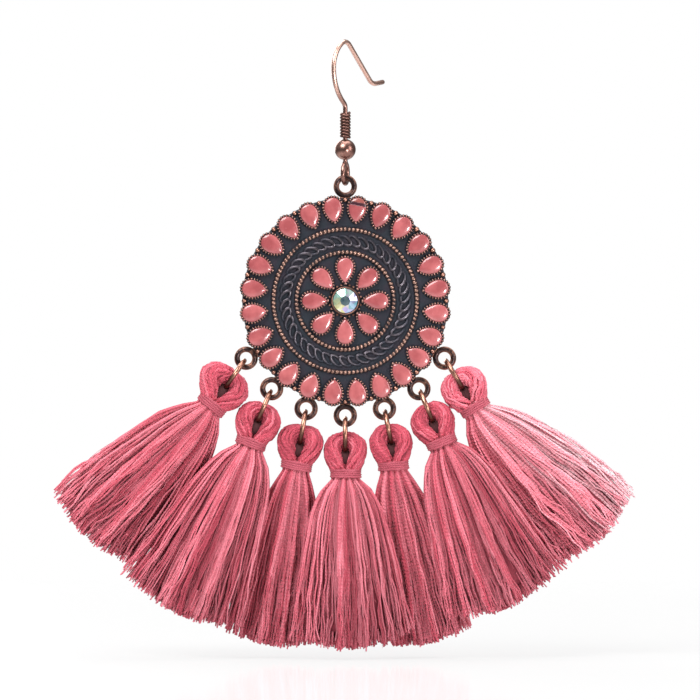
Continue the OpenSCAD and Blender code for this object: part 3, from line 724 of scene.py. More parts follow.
# mm and degrees, but for step
hook = {
    "wire": 0.35, "turn": 40, "bowReach": 2.65, "bowUpper": 4.6, "bowLower": 6.6, "knee": 1.0, "crown": 1.3,
    "legSlope": 47, "legLength": 6.8, "flick": 1.6, "flickRise": 10, "tail": 1.8, "bareStem": 0.5,
    "jog": 0.6, "loop": 1.5, "loopTurn": 13, "loopOpen": 24, "sides": 20,
    "step": 4.0,  # a larger one gives fewer points along the bends
    "coilRadius": 0.825, "coilLength": 4.05, "coilTurns": 9, "beadRadius": 1.55, "hole": 0.41, "gap": 0.08,
}
crownTurn = math.degrees(math.acos((hook["bowUpper"] - hook["bowReach"]) / (hook["bowUpper"] - hook["crown"])))
kneeTurn = math.degrees(math.acos(1 - hook["bowReach"] / (hook["bowLower"] + hook["knee"])))
crownSine = math.sin(math.radians(crownTurn))
bowZ = hook["wire"] - hook["crown"] * (1 - crownSine) - hook["bowUpper"] * crownSine
stemZ = bowZ - (hook["bowLower"] + hook["knee"]) * math.sin(math.radians(kneeTurn))
coilZ = stemZ - hook["bareStem"] - hook["coilLength"]
beadZ = coilZ - hook["gap"] - math.sqrt(hook["beadRadius"]**2 - hook["hole"]**2)
loopZ = beadZ - hook["beadRadius"] - hook["gap"] - hook["wire"] - hook["loop"]


def hookPath():
    def arc(x, z, radius, first, last):
        steps = max(3, round(abs(last - first) * math.sqrt(radius) / hook["step"]))
        turns = [math.radians(first + (last - first) * i / steps) for i in range(steps + 1)]
        return [(x + radius * math.cos(turn), z + radius * math.sin(turn)) for turn in turns]

    crown, leg, flick, tail = (hook[key] for key in ("crown", "legLength", "flick", "tail"))
    knee, jog, loop = (hook[key] for key in ("knee", "jog", "loop"))
    slope, rise = math.radians(hook["legSlope"]), math.radians(hook["flickRise"])
    crownZ = hook["wire"] - crown
    flickX = (crown + flick) * math.sin(slope) + leg * math.cos(slope)
    flickZ = crownZ + (crown + flick) * math.cos(slope) - leg * math.sin(slope)
    tailX = flickX + flick * math.sin(rise) + tail * math.cos(rise)
    tailZ = flickZ - flick * math.cos(rise) + tail * math.sin(rise)
    jogTurn = math.degrees(math.asin(jog / (loop + jog)))
    jogZ = loopZ + (loop + jog) * math.cos(math.radians(jogTurn))
    upper = [(tailX, tailZ)] + arc(flickX, flickZ, flick, 270 + hook["flickRise"], 270 - hook["legSlope"])
    upper += arc(0, crownZ, crown, 90 - hook["legSlope"], 180 - crownTurn)
    upper += arc(hook["bowUpper"] - hook["bowReach"], bowZ, hook["bowUpper"], 180 - crownTurn, 180)[1:]
    upper += arc(hook["bowLower"] - hook["bowReach"], bowZ, hook["bowLower"], 180, 180 + kneeTurn)[1:]
    upper += arc(-knee, stemZ, knee, kneeTurn, 0)[1:]
    lower = arc(jog, jogZ, jog, 180, 270 - jogTurn)
    lower += arc(0, loopZ, loop, 90 - jogTurn, hook["loopOpen"] - 270)[1:]
    path = []
    for points, turn in ((upper, hook["turn"]), (lower, hook["loopTurn"])):
        along = Vector((math.sin(math.radians(turn)), math.cos(math.radians(turn)), 0))
        path += [(along * x + Vector((0, 0, z))) * mm for x, z in points]
    return path


def roundedEnds(path, radius):
    # the wire's ends are filed round: (distance before the tip, radius), both as shares of the wire's radius
    shares = [(0.55, 1), (0.2, 0.88), (0, 0.45)]

    def endOf(tip, inner):
        way = (tip - inner).normalized()
        return [tip - way * radius * back for back, size in shares]

    sizes = [radius * size for back, size in shares]
    rounded = endOf(path[0], path[1])[::-1] + path[1:-1] + endOf(path[-1], path[-2])
    return rounded, sizes[::-1] + [radius] * (len(path) - 2) + sizes


wirePath, wireRadii = roundedEnds(hookPath(), hook["wire"] * mm)
hookWire = sweepTube("hook_wire_round", wirePath, wireRadii, hook["sides"])
finishPiece("hook_wire_round", hookWire, "hook", ["ear_hook"], hookCopper)

coilPitch = hook["coilLength"] / hook["coilTurns"]
coilMesh = growMesh("hook_winding", windingTree, {
    "Radius": (hook["coilRadius"] - coilPitch / 2) * mm, "Height": (hook["coilLength"] - coilPitch) * mm,
    "Turns": hook["coilTurns"] - 1.0, "Thickness": coilPitch / 2 * 0.98 * mm, "Steps": 26, "Sides": 10, "Slack": 0.0,
    "Material": coilCopper})
finishPiece("hook_winding", coilMesh, "hook", ["hook_coil"], coilCopper,
            Matrix.Translation((0, 0, (coilZ + coilPitch / 2) * mm)))


def beadMesh():
    radius, hole = hook["beadRadius"], hook["hole"]
    low = math.asin(hole / radius)
    first, steps = low + 0.05, 30
    top = radius * math.cos(low)
    profile = [(hole, top * 0.96), (hole * 1.04, top * 0.99)]
    for i in range(steps + 1):
        turn = first + (math.pi - 2 * first) * i / steps
        profile.append((radius * math.sin(turn), radius * math.cos(turn)))
    profile += [(hole * 1.04, -top * 0.99), (hole, -top * 0.96), profile[0]]
    return latheMesh("hook_ball", profile, 48)


finishPiece("hook_ball", beadMesh(), "hook", ["hook_bead"], hookCopper,
            Matrix.Translation((0, 0, beadZ * mm)))
print("hook made")

# mm, and degrees for linkLean; outer is for the drops round the edge, pull makes a drop more pointed, strand is for
# one lay of the ropes, link for the chain band and eye for the eyes that hold the rings
disc = {
    "plateRadius": 15.0, "plateEdge": 15.15, "plateHalf": 0.5,
    "outerCount": 24, "outerInset": 1.5, "outerLength": 3.6, "outerWidth": 2.6, "outerPull": 0.55,
    "petalCount": 8, "petalMiddle": 4.5, "petalLength": 3.7, "petalWidth": 2.45, "petalPull": 0.85,
    "teeth": 24, "toothDepth": 0.16, "toothRise": 0.24, "back": -0.42,
    "ropeOuter": 10.55, "ropeInner": 7.15, "strandThick": 0.28, "strandPitch": 0.6, "strandLean": 0.15,
    "strandHalf": 0.3, "strandLift": 0.1, "strandArch": 0.15,
    "linkCount": 42, "linkWire": 0.22, "linkHalf": 1.0, "linkHalfWidth": 0.5, "linkLean": -36, "linkLift": 0.17,
    "linkTilt": 0.13, "edgeGrain": 0.4, "cupGrain": 0.225, "cupRadius": 1.84, "cupWall": 0.26,
    "eyeStand": 1.85, "eyeHole": 0.9, "eyeWire": 0.42, "eyeNeck": 0.62, "eyeFlare": 0.5, "eyeFlat": 0.34,
    "eyeGrain": 0.22, "hangGap": 0.1,
}
eyeMiddle = disc["eyeHole"] + disc["eyeWire"]
eyeOut = disc["plateRadius"] + disc["eyeStand"]
hingeZ = loopZ - hook["loop"] + hook["wire"] + disc["hangGap"] + disc["eyeWire"]
discZ = hingeZ - eyeMiddle - eyeOut
discPlace = Matrix.Translation((0, 0, discZ * mm)) @ Matrix.Rotation(math.radians(90), 4, "X")
outerMiddle = disc["plateRadius"] - disc["outerInset"]
outerStep = 360 / disc["outerCount"]
half = disc["plateHalf"]
edge = disc["plateEdge"]
cupOut = disc["cupRadius"] + disc["cupWall"]


def dropOutline(length, width, pull, count):
    # points and outward ways round a drop, evenly spaced, with its point at -Y
    tip = 0.08  # how blunt the point is

    def shape(turn):
        return math.sin(turn) * (tip + (1 - tip) * abs(math.sin(turn / 2)) ** pull)
    widest = max(shape(math.radians(turn)) for turn in range(60, 131, 2))
    fine, reach = 720, 6  # steps of the curve, and steps to each side that give its direction
    curve = []
    for i in range(fine):
        turn = fullTurn * i / fine
        curve.append(Vector((width / 2 * shape(turn) / widest, -length / 2 * math.cos(turn), 0)))
    lengths = [0.0]
    for i in range(fine):
        lengths.append(lengths[-1] + (curve[(i + 1) % fine] - curve[i]).length)
    result = []
    k = 0
    for i in range(count):
        goal = lengths[-1] * (i + 0.5) / count
        while lengths[k + 1] < goal:
            k += 1
        share = (goal - lengths[k]) / (lengths[k + 1] - lengths[k])
        way = (curve[(k + reach) % fine] - curve[(k - reach) % fine]).normalized()
        result.append((curve[k].lerp(curve[(k + 1) % fine], share), Vector((way.y, -way.x, 0))))
    return result


def bezelMesh(name, length, width, pull, low):
    # a milled rim round a drop: rows of (grown by, height, share of the teeth's depth, share of their rise)
    rows = [
        (0.28, low, 0, 0), (0.34, low + 0.06, 0.3, 0), (0.37, 0.9, 1, 0), (0.34, 1.12, 1, 0.5), (0.25, 1.24, 0.6, 1),
        (0.1, 1.27, 0, 1), (-0.01, 1.21, -0.3, 0.9), (-0.05, 1.08, -0.2, 0.2), (-0.06, 0.9, 0, 0)]
    perTooth = 6  # points
    count = disc["teeth"] * perTooth
    outline = dropOutline(length, width, pull, count)
    points = []
    for grow, height, deep, rise in rows:
        for i, (here, out) in enumerate(outline):
            dip = 0.5 - 0.5 * math.cos(fullTurn * i / perTooth)
            spot = here + out * (grow - dip * disc["toothDepth"] * deep)
            points.append(Vector((spot.x, spot.y, height - dip * disc["toothRise"] * rise)) * mm)
    points, faces = capped(points, ringFaces(len(rows), count), len(rows), count)
    return meshFrom(name, points, faces)


def enamelMesh(name, length, width, pull):
    # a pillow of enamel that fills a drop: rows of (share of the outline, height)
    rows = [(1.0, 0.8), (1.0, 1.06), (0.965, 1.13), (0.9, 1.19), (0.8, 1.24), (0.66, 1.285), (0.48, 1.315),
            (0.28, 1.33), (0.1, 1.335)]
    count, gap = 48, 0.02
    outline = dropOutline(length - gap, width - gap, pull, count)
    centre = Vector((0, 0.1 * length, 0))
    points = []
    for share, height in rows:
        for here, out in outline:
            spot = centre + (here - centre) * share
            points.append(Vector((spot.x, spot.y, height)) * mm)
    points, faces = capped(points, ringFaces(len(rows), count), len(rows), count)
    return meshFrom(name, points, faces)


def repeatRound(name, base, count, radius, material, first=0.0, uneven=0.0, seed=1, step=None):
    return growMesh(name, roundTree, {
        "Count": count, "Radius": radius * mm, "First Turn": math.radians(first), "Uneven": uneven, "Seed": seed,
        "Turn Step": math.radians(360 / count if step is None else step), "Material": material}, base)


def discPiece(name, mesh, material, nodes=("medallion",)):
    finishPiece(name, mesh, "drop", nodes, material, discPlace)


def discRound(name, base, count, radius, material, nodes=("medallion",), slot="antique_copper", **values):
    discPiece(name, repeatRound(name, base, count, radius, material, **values), material, nodes)


rim = [(edge - 0.22, half), (edge - 0.08, half - 0.06), (edge, half - 0.22)]
plateProfile = [(radius, half) for radius in (0.001, 2, 4, 6, 8, 10, 12, 14)] + rim
plateProfile += [(radius, -height) for radius, height in rim[::-1]]
plateProfile += [(radius, -half) for radius in (14, 10, 6, 2, 0.001)]
discPiece("medallion_plate", latheMesh("medallion_plate", plateProfile, 144), groundCopper)

outerBezel = bezelMesh("outerBezel", disc["outerLength"], disc["outerWidth"], disc["outerPull"], disc["back"])
discRound("edge_settings", outerBezel, disc["outerCount"], outerMiddle, settingCopper, first=outerStep / 2)
petalBezel = bezelMesh("petalBezel", disc["petalLength"], disc["petalWidth"], disc["petalPull"], half - 0.1)
discRound("petal_settings", petalBezel, disc["petalCount"], disc["petalMiddle"], settingCopper)


def strandMesh():
    # one short slanted lay of the rope, almost a bead
    path, radii = [], []
    steps = 8
    for i in range(steps + 1):
        s = -1 + 2 * i / steps
        height = half + disc["strandLift"] + disc["strandArch"] * math.cos(s * math.pi / 2.2)
        path.append(Vector((s * disc["strandLean"], s * disc["strandHalf"], height)) * mm)
        radii.append(disc["strandThick"] * math.sqrt(max(0.06, 1 - 0.9 * s * s)) * mm)
    return sweepTube("ropeStrand", path, radii, 8)


ropeBed = [
    (-0.4, -0.05), (-0.36, 0.08), (-0.24, 0.2), (0, 0.26), (0.24, 0.2), (0.36, 0.08), (0.4, -0.05), (-0.4, -0.05)]
for label, radius, first in (("outer", disc["ropeOuter"], 0), ("inner", disc["ropeInner"], 2)):
    strands = round(fullTurn * radius / disc["strandPitch"])
    name = f"rope_ring_{label}"
    bed = latheMesh("ropeBed", [(radius + across, half + up) for across, up in ropeBed], 128)
    lumps = repeatRound("ropeLumps", strandMesh(), strands, radius, ropeCopper, first=first, uneven=0.04, seed=5)
    discPiece(name, joinMeshes(name, [bed, lumps]), ropeCopper)


def linkMesh():
    # a curb link: an oval wire ring, tipped so that one end lies over its neighbour
    path = []
    steps = 22
    lean = math.radians(disc["linkLean"])
    for i in range(steps):
        turn = fullTurn * i / steps
        along, across = disc["linkHalf"] * math.cos(turn), disc["linkHalfWidth"] * math.sin(turn)
        x = along * math.cos(lean) - across * math.sin(lean)
        y = along * math.sin(lean) + across * math.cos(lean)
        path.append(Vector((x, y, half + disc["linkLift"] + disc["linkTilt"] * math.cos(turn - 0.4))) * mm)
    return sweepTube("curbLink", path, disc["linkWire"] * mm, 8, closedPath=True)


chainMiddle = (disc["ropeOuter"] + disc["ropeInner"]) / 2
discRound("curb_chain_relief", linkMesh(), disc["linkCount"], chainMiddle, chainCopper, uneven=0.02, seed=9)


def grainMesh(name, radius, height):
    ball = bmesh.new()
    bmesh.ops.create_uvsphere(ball, u_segments=14, v_segments=8, radius=radius * mm)
    mesh = bpy.data.meshes.new(name)
    ball.to_mesh(mesh)
    ball.free()
    mesh.transform(Matrix.Translation((0, 0, height * mm)))
    mesh.polygons.foreach_set("use_smooth", [True] * len(mesh.polygons))
    return mesh


edgeGrains = repeatRound("edgeGrains", grainMesh("edgeGrain", disc["edgeGrain"], half), disc["outerCount"],
                         edge - disc["edgeGrain"] + 0.1, grainCopper, uneven=0.05, seed=3)
cupGrains = []
for turn in (14.5, 30.5):
    cupGrains.append(repeatRound(
        "cupGrains", grainMesh("cupGrain", disc["cupGrain"], half + 0.09), disc["petalCount"],
        cupOut + disc["cupGrain"] + 0.02, grainCopper, first=turn, seed=4))
discPiece("raised_grains", joinMeshes("raised_grains", [edgeGrains] + cupGrains), grainCopper)


def eyeMesh():
    # an eye, its neck that runs to the plate, at -Y, and a grain at the neck's foot
    ring = sweepTube("eyeRing", circle(40, eyeMiddle * mm), disc["eyeWire"] * mm, 14, closedPath=True)
    top, base = -eyeMiddle + 0.2, -disc["eyeStand"] - 0.3
    shares = [i / 6 for i in range(7)]
    root = [Vector((0, top + (base - top) * share, 0)) * mm for share in shares]
    radii = [(disc["eyeNeck"] + disc["eyeFlare"] * share ** 1.6) * mm for share in shares]
    neck = sweepTube("eyeNeck", root, radii, 16)
    neck.transform(Matrix.Diagonal((1, 1, disc["eyeFlat"], 1)))
    foot = grainMesh("eyeGrain", disc["eyeGrain"], 0.3)
    foot.transform(Matrix.Translation((0, (-disc["eyeStand"] + 0.1) * mm, 0)))
    return joinMeshes("eye", [ring, neck, foot])


topEye = repeatRound("topEye", eyeMesh(), 1, eyeOut, eyeCopper)
lowerEyes = repeatRound("lowerEyes", eyeMesh(), 7, eyeOut, eyeCopper, first=120, step=20)
discPiece("hanging_eyes", joinMeshes("hanging_eyes", [topEye, lowerEyes]), eyeCopper)

cupIn = disc["cupRadius"]
cupProfile = [
    (cupIn, half + 0.3), (cupIn, 1.26), (cupIn + 0.05, 1.34), (cupIn + 0.13, 1.37), (cupOut - 0.05, 1.33),
    (cupOut, 1.24), (cupOut, 0.9), (cupOut + 0.06, half - 0.05), (cupIn, half - 0.05)]
discPiece("stone_cup", latheMesh("stone_cup", cupProfile + cupProfile[:1], 64), cupCopper)
print("medallion made")

outerNodes = [f"enamel_outer_{i:02d}" for i in range(1, disc["outerCount"] + 1)]
petalNodes = [f"enamel_petal_{i}" for i in range(1, disc["petalCount"] + 1)]
outerEnamel = enamelMesh("outerEnamel", disc["outerLength"], disc["outerWidth"], disc["outerPull"])
discRound("enamel_edge_drops", outerEnamel, disc["outerCount"] - 1, outerMiddle, edgeEnamel, outerNodes[1:],
          "coral_enamel", first=1.5 * outerStep, step=outerStep)
discRound("enamel_flawed_drop", outerEnamel, 1, outerMiddle, flawedEnamel, outerNodes[:1], "coral_enamel",
          first=outerStep / 2)
petalEnamel = enamelMesh("petalEnamel", disc["petalLength"], disc["petalWidth"], disc["petalPull"])
discRound("enamel_petals", petalEnamel, disc["petalCount"], disc["petalMiddle"], edgeEnamel, petalNodes,
          "coral_enamel")

# radii and heights in mm; base is the height of the stone's widest line
stone = {"base": half + 0.74, "table": 0.75, "crown": 0.6, "kite": 1.28, "kiteHeight": 0.33, "girdle": 1.79,
         "girdleHeight": 0.1, "pavilion": -0.7, "culet": 0.4, "seed": 12}


def stoneMesh():
    # a round brilliant: table, eight stars, eight kites, sixteen girdle facets and a pavilion
    points = []

    def addRing(count, radius, height, shift=0.0):
        for i in range(count):
            turn = fullTurn * (i + shift) / count
            points.append(Vector((radius * math.sin(turn), radius * math.cos(turn), stone["base"] + height)) * mm)
        return len(points) - count

    table = addRing(8, stone["table"], stone["crown"])
    kite = addRing(8, stone["kite"], stone["kiteHeight"], 0.5)
    girdle = addRing(16, stone["girdle"], stone["girdleHeight"])
    under = addRing(16, stone["girdle"], 0.0)
    culet = addRing(8, stone["culet"], stone["pavilion"])
    # painted reflection, partly the coating's own colours: mint left, lilac and cyan right, lemon below, a dark table
    mint, cyan, lilac = colour(160, 226, 200), colour(138, 206, 222), colour(190, 176, 226)
    lemon, white = colour(214, 208, 138), colour(206, 218, 220)
    around = [white, lilac, cyan, lilac, lemon, lemon, mint, mint]
    faces, tintsAndReflections = [tuple(range(8))], [colour(48, 84, 94)]
    rand = random.Random(stone["seed"])

    def addFacet(face, i, strong):
        faces.append(face)
        first, second = around[int(i) % 8], around[(int(i) + rand.choice((0, 1, 7))) % 8]
        tone = [a * strong + b * (1 - strong) for a, b in zip(first, second)]
        # each facet is dimmed at random, as painted reflection
        dim = rand.uniform(0.55, 0.95)
        tintsAndReflections.append((tone[0] * dim, tone[1] * dim, tone[2] * dim, 1))

    for i in range(8):
        j = (i + 1) % 8
        here, between, beyond = 2 * i, 2 * i + 1, (2 * i + 2) % 16
        addFacet((table + i, kite + i, table + j), i, 0.5)
        addFacet((table + j, kite + i, girdle + beyond), i, 0.7)
        addFacet((table + j, girdle + beyond, kite + j), i, 0.7)
        addFacet((kite + i, girdle + here, girdle + between), i, 0.9)
        addFacet((kite + i, girdle + between, girdle + beyond), i, 0.6)
        addFacet((under + here, under + between, under + beyond, culet + j, culet + i), i, 0.5)
    for i in range(16):
        j = (i + 1) % 16
        addFacet((girdle + i, girdle + j, under + j, under + i), i / 2, 0.5)
    faces.append(tuple(culet + i for i in range(8)))
    tintsAndReflections.append(white)
    mesh = bpy.data.meshes.new("crystal_stone")
    mesh.from_pydata(points, [], faces)
    layer = mesh.color_attributes.new("facetTintAndReflection", "FLOAT_COLOR", "CORNER")
    for face, tintAndReflection in zip(mesh.polygons, tintsAndReflections):
        for corner in face.loop_indices:
            layer.data[corner].color = tintAndReflection
    form = bmesh.new()
    form.from_mesh(mesh)
    bmesh.ops.recalc_face_normals(form, faces=form.faces)
    form.to_mesh(mesh)
    form.free()
    return mesh


discPiece("crystal_stone", stoneMesh(), crystalLook, ["center_stone"])
print("enamel and stone made")

# mm and degrees
jump = {
    "middle": 2.44, "wire": 0.36, "cutAt": 115, "cut": 1.9, "sides": 14, "steps": 56,
    # the last three paint the ring darker towards its foot, as painted shade: shares of the radius, then of the darkest
    # tone
    "dullFrom": -0.1, "dullOver": 0.6, "dullMost": 0.85,  # shares of the radius, then of the dull tone
}
tassel = {
    "neckDrop": 2.75, "neckRadius": 2.0, "wrapLength": 1.6, "wrapTurns": 4.0, "wrapThread": 0.18, "wrapLift": 0.17,
    "wrapSink": 0.16, "skirtLength": 26.2, "skirtFirst": -0.026, "skirtLast": 1.02, "hemHalf": 9.6, "hemDepth": 2.5,
    "locks": 12, "groove": 0.5, "frontShift": 1.9, "backShift": 2.6,
    "thread": 0.175, "foldThread": 0.189, "hemThread": 0.23, "strayThread": 0.045,  # half their thickness
    "threadsWide": 460, "threadsNarrow": 360, "foldThreads": 110, "strays": 26, "hemThreads": 150,
    "slitDrop": 1.2, "slitHalves": (1.1, 1.15, 1.4),
}
# eye, ring, head and lean turn the eye, ring, head and skirt; layer 1 is behind; left and right spread the hem,
# bulge fills the shoulders, fatLeft and fatRight widen the head, loose makes the threads untidy, and the two pale
# values paint a whole tassel, or one side of it, paler as painted light
evenTassel = {
    "layer": 1, "long": 1.0, "left": 0.0, "right": 0.0, "bulge": 0.0, "pale": 0.0, "paleSide": 0.0, "loose": 1.0,
    "fatLeft": 1.08, "fatRight": 1.08}
tassels = [{**evenTassel, **one} for one in [
    {"eye": -60, "ring": -35, "head": -38, "lean": -45, "wide": 0.88, "long": 1.02, "right": 0.4, "bulge": 0.1,
     "pale": 0.12, "paleSide": -0.8, "loose": 1.3, "fatLeft": 1.5, "fatRight": 1.12},
    {"eye": -40, "ring": -23, "head": -18, "lean": -22, "wide": 0.97, "long": 1.03, "layer": -1, "left": 0.2},
    {"eye": -20, "ring": -10, "head": -9, "lean": -9, "wide": 0.74, "long": 1.012, "fatLeft": 1.1, "fatRight": 1.1},
    {"eye": 0, "ring": 0, "head": 1, "lean": 2, "wide": 1.0, "long": 0.972, "layer": -1, "fatLeft": 1.02,
     "fatRight": 1.02},
    {"eye": 20, "ring": 11, "head": 6, "lean": 11, "wide": 0.74, "long": 1.012, "fatLeft": 1.0, "fatRight": 1.0},
    {"eye": 40, "ring": 23, "head": 23, "lean": 21, "wide": 0.97, "long": 0.99, "layer": -1, "right": 0.2,
     "fatRight": 1.02},
    {"eye": 60, "ring": 31, "head": 33, "lean": 45, "wide": 0.88, "long": 1.02, "left": 0.4, "bulge": 0.1,
     "pale": 0.5, "paleSide": 0.9, "loose": 1.5, "fatLeft": 1.0, "fatRight": 1.22},
]]
# share of the length, then of the hem's half width, depth, grooves, lean and layer shift
skirtRows = [
    (-0.07, 0.0, 0.0, 0, 0, 0),
    (0.035, 0.0, 0.0, 0.1, 0, 0.02),
    (0.07, 0.31, 0.88, 0.3, 0.2, 0.14),
    (0.12, 0.43, 0.94, 0.45, 0.45, 0.34),
    (0.2, 0.55, 0.95, 0.6, 0.7, 0.62),
    (0.32, 0.65, 0.96, 0.7, 0.85, 0.84),
    (0.5, 0.75, 0.97, 0.8, 0.95, 0.95),
    (0.75, 0.88, 0.98, 0.9, 1, 0.98),
    (1, 1, 1, 1, 1, 1),
]
# place along one side of the fold, then sideways, height, thickness and depth, all in mm
foldRows = [
    (0.0, 0.0, 1.2, 2.3, 2.87),
    (0.2, 0.98, 1.04, 2.6, 3.36),
    (0.4, 1.64, 0.36, 2.65, 3.94),
    (0.56, 1.82, -0.47, 2.54, 4.1),
    (0.68, 1.72, -1.1, 2.5, 4.1),
    (0.8, 1.5, -1.8, 2.44, 4.0),
    (0.92, 1.12, -2.7, 2.24, 3.77),
    (1.0, 0.9, -3.5, 2.1, 3.3),
]
ringReach = eyeMiddle - disc["eyeWire"] - disc["hangGap"] + jump["middle"] - jump["wire"]
seatReach = ringReach + jump["middle"] - jump["wire"] - disc["hangGap"]


def ringPlace(one, down):
    # down mm under a tassel's eye, turned with its ring
    eye = math.radians(one["eye"])
    spot = Vector((eyeOut * math.sin(eye), 0, discZ - eyeOut * math.cos(eye)))
    turned = Matrix.Translation(spot * mm) @ Matrix.Rotation(math.radians(-one["ring"]), 4, "Y")
    return turned @ Matrix.Translation((0, 0, -down * mm))


def foldPlace(one):
    return ringPlace(one, seatReach) @ Matrix.Rotation(math.radians(one["ring"] - one["head"]), 4, "Y")


def formMesh(name, pointAt, axisAt, around, along, keep, last=1.0):
    # an open form with a flow map: u goes round it, v along it, and the middle line is kept for each point;
    # keep is the share of its width, and last the share of its length
    points, axes, faces = [], [], []
    for row in range(along + 1):
        for column in range(around + 1):
            u, v = column / around, last * row / along
            axis = axisAt(u, v)
            points.append(axis + (pointAt(u, v) - axis) * keep)
            axes.append(axis)
    wide = around + 1
    for row in range(along):
        for column in range(around):
            corner = row * wide + column
            faces.append((corner, corner + 1, corner + wide + 1, corner + wide))
    mesh = bpy.data.meshes.new(name)
    mesh.from_pydata([tuple(point * mm) for point in points], [], faces)
    flow = mesh.uv_layers.new(name="flow")
    for loop in mesh.loops:
        row, column = divmod(loop.vertex_index, wide)
        flow.data[loop.index].uv = (column / around, row / along)
    axisData = mesh.attributes.new("axis", "FLOAT_VECTOR", "POINT")
    for i, axis in enumerate(axes):
        axisData.data[i].vector = axis * mm
    return mesh


def closedCopy(name, form):
    # the form as a closed skin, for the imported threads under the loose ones
    skin = bmesh.new()
    skin.from_mesh(form)
    bmesh.ops.remove_doubles(skin, verts=skin.verts, dist=1e-7)
    bmesh.ops.holes_fill(skin, edges=[one for one in skin.edges if one.is_boundary], sides=0)
    bmesh.ops.triangulate(skin, faces=[face for face in skin.faces if len(face.verts) > 4])
    bmesh.ops.recalc_face_normals(skin, faces=skin.faces)
    mesh = bpy.data.meshes.new(name)
    skin.to_mesh(mesh)
    skin.free()
    mesh.polygons.foreach_set("use_smooth", [True] * len(mesh.polygons))
    return mesh


def skirtForms(one, number):
    # the skirt's skin and its middle line: it leans off the neck, and its hem is an arc round the neck
    length = tassel["skirtLength"] * one["long"]
    halfWidth = tassel["hemHalf"] * one["wide"]
    shift = tassel["backShift"] if one["layer"] > 0 else -tassel["frontShift"]
    start = Vector((0, 0, -tassel["neckDrop"] - tassel["wrapLength"] / 2))

    def skinAt(u, v, middle=False):
        share = tassel["skirtFirst"] + (tassel["skirtLast"] - tassel["skirtFirst"]) * v
        turn = fullTurn * u
        bend = threadLook["bend"] * math.sin(3 * turn + number)  # the threads' locks bend as the grooves do
        crest = 0.5 - 0.5 * math.cos(turn * tassel["locks"] + bend)
        groove = tassel["groove"] * smoothTable(skirtRows, share, 3) * (1 - crest)
        x = (max(halfWidth * smoothTable(skirtRows, share, 1), tassel["neckRadius"]) - groove) * math.cos(turn)
        y = max(tassel["hemDepth"] * smoothTable(skirtRows, share, 2), tassel["neckRadius"] * 0.93) - groove
        y *= math.sin(turn)
        part = min(max(share, 0), 1)
        x *= 1 + part * one["right" if x > 0 else "left"] + one["bulge"] * math.sin(math.pi * part)
        if middle:
            x = y = 0
        rise = length - math.sqrt(max(length * length - x * x * share * share, 0))
        down = share * length - rise
        lean = math.radians((one["lean"] - one["head"]) * smoothTable(skirtRows, share, 4))
        return start + Vector((x * math.cos(lean) + down * math.sin(lean), y + shift * smoothTable(skirtRows, share, 5),
                               x * math.sin(lean) - down * math.cos(lean)))

    return skinAt, lambda u, v: skinAt(u, v, True)


def foldForms(one):
    # the head's skin and its middle line: v runs from the neck over the ring and back to the neck
    def place(v):
        along = 2 * v - 1
        spot = abs(along)
        side = -1 if along < 0 else 1
        return Vector((side * smoothTable(foldRows, spot, 1), 0, smoothTable(foldRows, spot, 2))), spot

    def widened(point, spot):
        fat = one["fatRight" if point.x > 0 else "fatLeft"]
        point.x *= 1 + (fat - 1) * (1 - spot ** 3)
        return point

    def axisAt(u, v):
        return widened(*place(v))

    def skinAt(u, v):
        middle, spot = place(v)
        before, after = place(max(0.0, v - 0.01))[0], place(min(1.0, v + 0.01))[0]
        way = (after - before).normalized()
        turn = fullTurn * u
        thick = smoothTable(foldRows, spot, 3) / 2
        deep = smoothTable(foldRows, spot, 4) / 2
        outward = Vector((-way.z, 0, way.x)) * thick * math.cos(turn)
        return widened(middle + outward + Vector((0, deep * math.sin(turn), 0)), spot)

    return skinAt, axisAt


